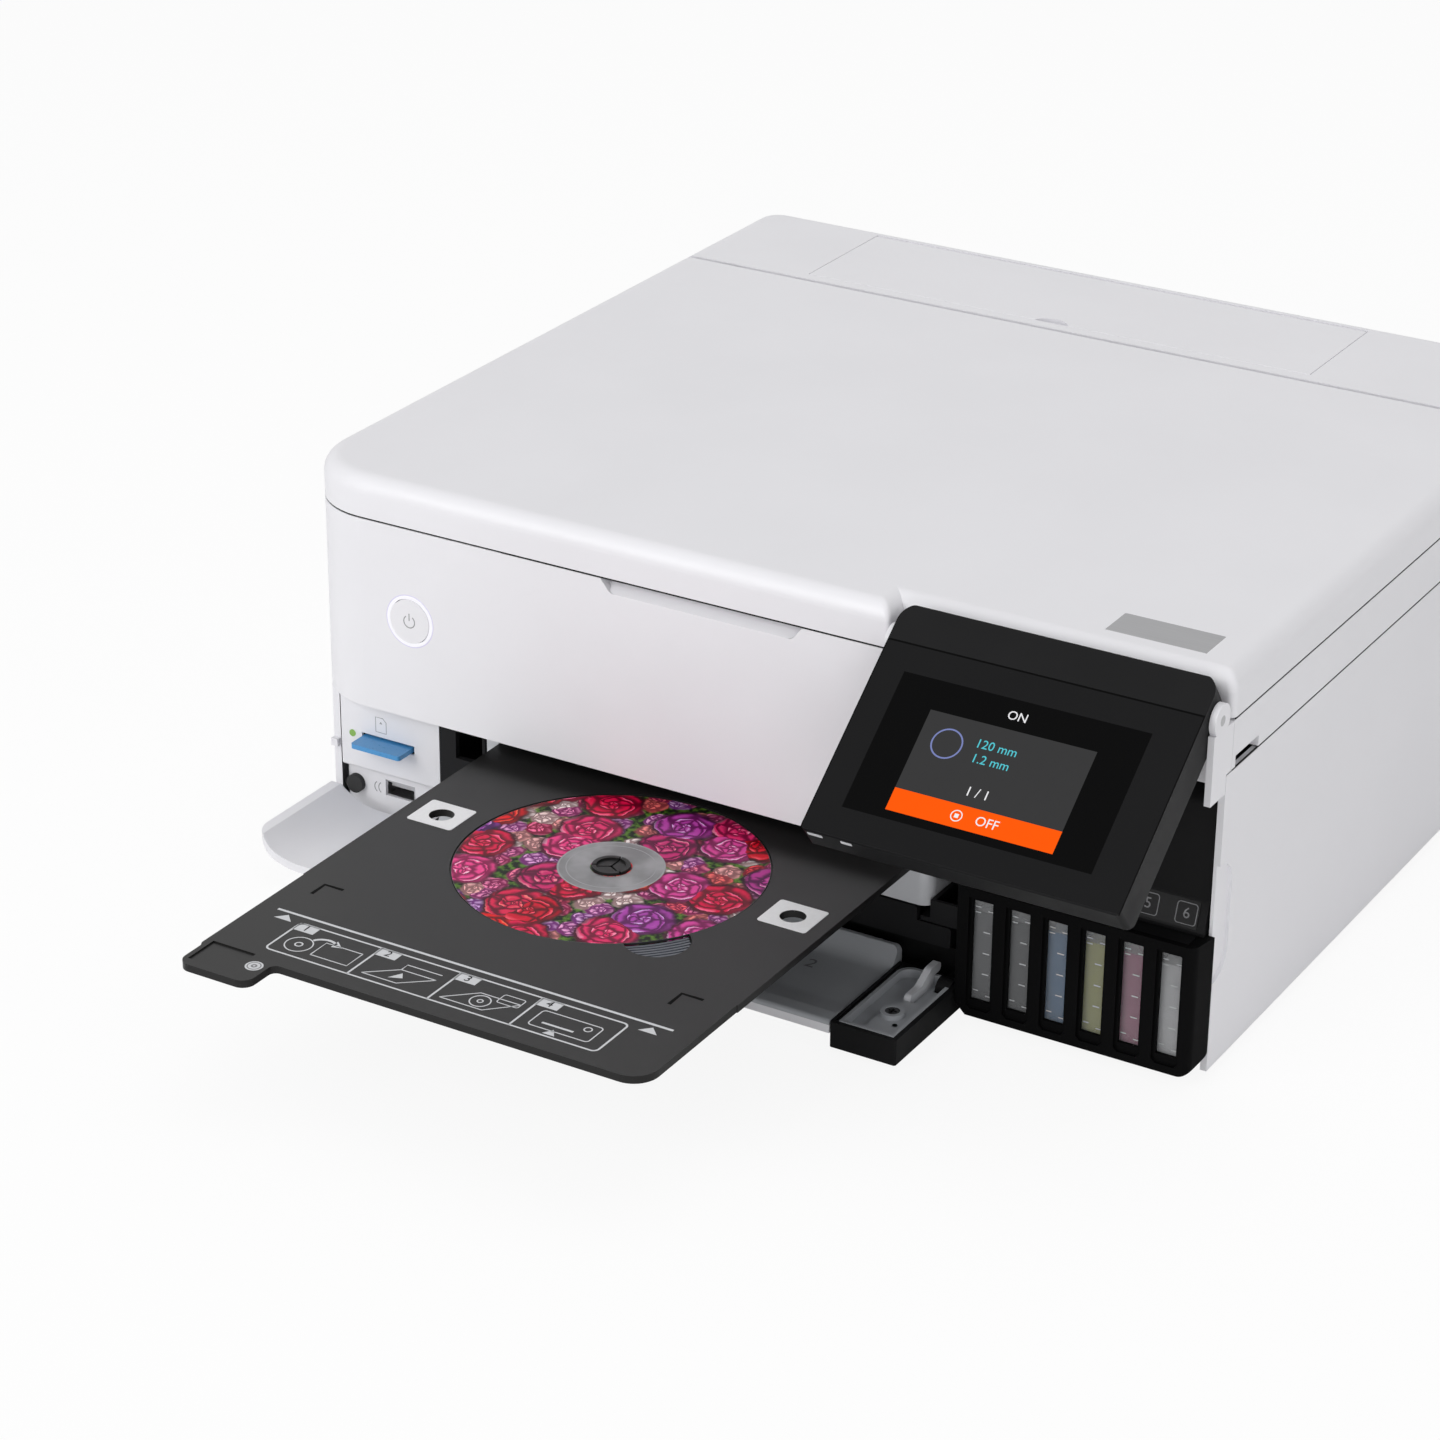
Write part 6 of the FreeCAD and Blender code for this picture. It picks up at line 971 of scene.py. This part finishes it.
def dress_screen():
    """The lit picture on the control panel, in mm right of and down from the glass's corner."""
    TILT = math.radians(51.5)
    SEAM_SIDE, SEAM_LOW, SEAM_HIGH = 0.45, -0.2, 0.5
    EDGE_IN, EDGE_OUT, EDGE_LONG = 0.1, 0.5, 80
    TABS, TAB_LOW, TAB_HIGH, TAB_CORNER = ((75, 81), (88.5, 93)), -2.6, -0.9, 0.3
    AREA_LEFT, AREA_RIGHT, AREA_LOW, AREA_HIGH = 84.4, 183, -68, -11
    CARD_LEFT, CARD_RIGHT, CARD_HIGH, BAR_HIGH, BAR_LOW = 100.5, 166.6, -23, -55.5, -64.6
    STOP_X, STOP_Y, STOP_HALF = 127, -60, 0.8
    glass = face_ground("panel_glass", (0, -math.cos(TILT), math.sin(TILT)), X)
    left = glass.origin.x / MM
    display = printed("display_black", (0.0006, 0.0006, 0.0007), 0.25, Specular_IOR_Level=0.05)
    card = lit("display_card", (0.042, 0.042, 0.043), 0.9)
    orange = lit("display_orange", (1.0, 0.10, 0.0), 1.0)
    white = lit("display_white", (0.9, 0.9, 0.92), 0.95)
    cyan = lit("display_cyan", (0.09, 0.58, 0.66), 1.0)
    violet = lit("display_violet", (0.22, 0.26, 0.55), 0.9)
    slot, body = "cover_glass", "control_panel"

    def at(x):
        """A place on the glass, from the printer's own middle."""
        return x - left

    glass_low, glass_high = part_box("panel_glass")
    wide = (glass_high.x - glass_low.x) / MM
    seam = panel(-SEAM_SIDE, SEAM_LOW, wide + SEAM_SIDE, SEAM_HIGH)
    seam += panel(-EDGE_OUT, -EDGE_LONG, -EDGE_IN, 0)
    seam += panel(wide + EDGE_IN, -EDGE_LONG, wide + EDGE_OUT, 0)
    mark("panel_seam", glass, seam, BLACK_PRINT_AND_SHADE, body, lift=0.02)
    foot = face_ground("panel_housing", (0, -math.sin(TILT), -math.cos(TILT)), X)
    foot_left = foot.origin.x / MM
    tabs = []
    for start, stop in TABS:
        tabs += panel(start - foot_left, TAB_LOW, stop - foot_left, TAB_HIGH, TAB_CORNER)
    mark("panel_tabs", foot, tabs, PALE, body, lift=0.2)
    for name, edges, finish, lift in (
        ("display_area", (AREA_LEFT, AREA_LOW, AREA_RIGHT, AREA_HIGH), display, 0.03),
        ("display_card", (CARD_LEFT, BAR_HIGH, CARD_RIGHT, CARD_HIGH), card, 0.05),
        ("display_bar", (CARD_LEFT, BAR_LOW, CARD_RIGHT, BAR_HIGH), orange, 0.05),
    ):
        start, low, stop, high = edges
        mark(name, glass, panel(at(start), low, at(stop), high), finish, body, lift)
    circle = ring(at(111.9), -34.3, 5.5, 6.1, steps=48)
    mark("display_circle", glass, circle, violet, body, lift=0.07)
    for name, text, x, down, height, finish in (
        ("display_title", "ON", 133, 17.6, 3.6, white),
        ("display_line_1", "120 mm", 130.5, 31.3, 3.6, cyan),
        ("display_line_2", "1.2 mm", 130.5, 37.2, 3.6, cyan),
        ("display_count", "1 / 1", 131, 50, 3.8, white),
        ("display_stop", "OFF", 139, 60, 3.8, white),
    ):
        figure(name, glass, text, at(x), -down, height, finish, slot, body, lift=0.07)
    stop = ring(at(STOP_X), STOP_Y, 1.9, 2.3, steps=24)
    stop += panel(
        at(STOP_X) - STOP_HALF, STOP_Y - STOP_HALF, at(STOP_X) + STOP_HALF, STOP_Y + STOP_HALF
    )
    mark("display_stop_sign", glass, stop, white, body, lift=0.07)


dress_front()
dress_grip()
dress_connectors()
dress_tanks()
dress("tank_housing", tank_black())
dress_ledge()
dress_seams()
dress_cover()
dress_screen()

# ---------------------------------------------------------------- camera and studio


def aim_camera():
    """A long lens from the right, over the front."""
    AZIMUTH, ELEVATION, ROLL = map(math.radians, (30.80, 25.50, 0.44))
    PLACE, LENS, SENSOR, FAR = (0.6935, -1.2570, 0.7467), 99.34, 36.0, 20.0
    around = Matrix.Rotation(AZIMUTH, 4, "Z")
    raised = Matrix.Rotation(math.pi / 2 - ELEVATION, 4, "X")
    rolled = Matrix.Rotation(ROLL, 4, "Z")
    data = bpy.data.cameras.new("camera")
    data.sensor_width = SENSOR
    data.lens = LENS
    data.clip_end = FAR
    camera = bpy.data.objects.new("camera", data)
    bpy.context.collection.objects.link(camera)
    camera.matrix_world = Matrix.Translation(PLACE) @ around @ raised @ rolled
    bpy.context.scene.camera = camera


def softbox(name, size, power, place, target):
    """A rectangular lamp turned towards a point."""
    data = bpy.data.lights.new(name, "AREA")
    data.shape = "RECTANGLE"
    data.size, data.size_y = size
    data.energy = power
    lamp = bpy.data.objects.new(name, data)
    bpy.context.collection.objects.link(lamp)
    lamp.location = place
    lamp.rotation_euler = (Vector(target) - Vector(place)).to_track_quat("-Z", "Y").to_euler()


def build_world():
    """A dim white sky that is full white where it is seen, mirrored or seen through."""
    SKY = 0.45
    world = bpy.data.worlds.new("studio")
    bpy.context.scene.world = world
    world.use_nodes = True
    tree = world.node_tree
    tree.nodes.clear()
    rays = tree.nodes.new("ShaderNodeLightPath")
    seen = rays.outputs["Is Camera Ray"]
    for ray in ("Is Glossy Ray", "Is Transmission Ray"):
        either = tree.nodes.new("ShaderNodeMath")
        either.operation = "MAXIMUM"
        tree.links.new(seen, either.inputs[0])
        tree.links.new(rays.outputs[ray], either.inputs[1])
        seen = either.outputs[0]
    strength = tree.nodes.new("ShaderNodeMapRange")
    strength.inputs["To Min"].default_value = SKY
    strength.inputs["To Max"].default_value = 1.0
    tree.links.new(seen, strength.inputs["Value"])
    backdrop = tree.nodes.new("ShaderNodeBackground")
    backdrop.inputs["Color"].default_value = (1.0, 1.0, 1.0, 1.0)
    tree.links.new(strength.outputs[0], backdrop.inputs["Strength"])
    output = tree.nodes.new("ShaderNodeOutputWorld")
    tree.links.new(backdrop.outputs[0], output.inputs["Surface"])


def build_floor():
    """A pale floor below the object that runs out into the white background."""
    SPAN, WHITENING = 6.0, 0.9
    finish = Finish("studio_floor", Roughness=0.85, Specular_IOR_Level=0.1)
    finish.set(Base_Color=finish.mix(finish.noise(3, 2), (0.93, 0.93, 0.93), (0.95, 0.95, 0.95)))
    glow = finish.add("ShaderNodeEmission", {}, {"Color": (1.0, 1.0, 1.0), "Strength": 1.0})
    tree = finish.tree
    blend = tree.nodes.new("ShaderNodeMixShader")
    camera_ray = finish.add("ShaderNodeLightPath", {}, {}, "Is Camera Ray")
    finish.feed(blend.inputs[0], camera_ray * WHITENING)
    tree.links.new(finish.shader.outputs[0], blend.inputs[1])
    tree.links.new(glow.socket, blend.inputs[2])
    tree.links.new(blend.outputs[0], tree.nodes["Material Output"].inputs["Surface"])
    mesh = bpy.data.meshes.new("studio_floor")
    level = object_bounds()[0].z
    corners = ((-SPAN, -SPAN), (SPAN, -SPAN), (SPAN, SPAN), (-SPAN, SPAN))
    mesh.from_pydata([(x, y, level) for x, y in corners], [], [(0, 1, 2, 3)])
    mesh.materials.append(finish.material)
    floor = bpy.data.objects.new("studio_floor", mesh)
    bpy.context.collection.objects.link(floor)


bpy.context.scene.view_settings.view_transform = "Standard"
aim_camera()
build_world()
softbox("key_softbox", (1.8, 1.8), 38.5, (-1.1, -2.4, 1.5), (0, 0, 0.08))
softbox("top_softbox", (2.0, 2.0), 13.5, (0.2, 0.6, 2.6), (0, 0, 0.1))
softbox("right_strip", (0.6, 1.6), 5, (2.0, -0.5, 1.1), (0.1, 0, 0.1))
softbox("low_fill", (1.2, 0.5), 6.4, (1.1, -2.0, 0.35), (0, -0.1, 0.03))
build_floor()
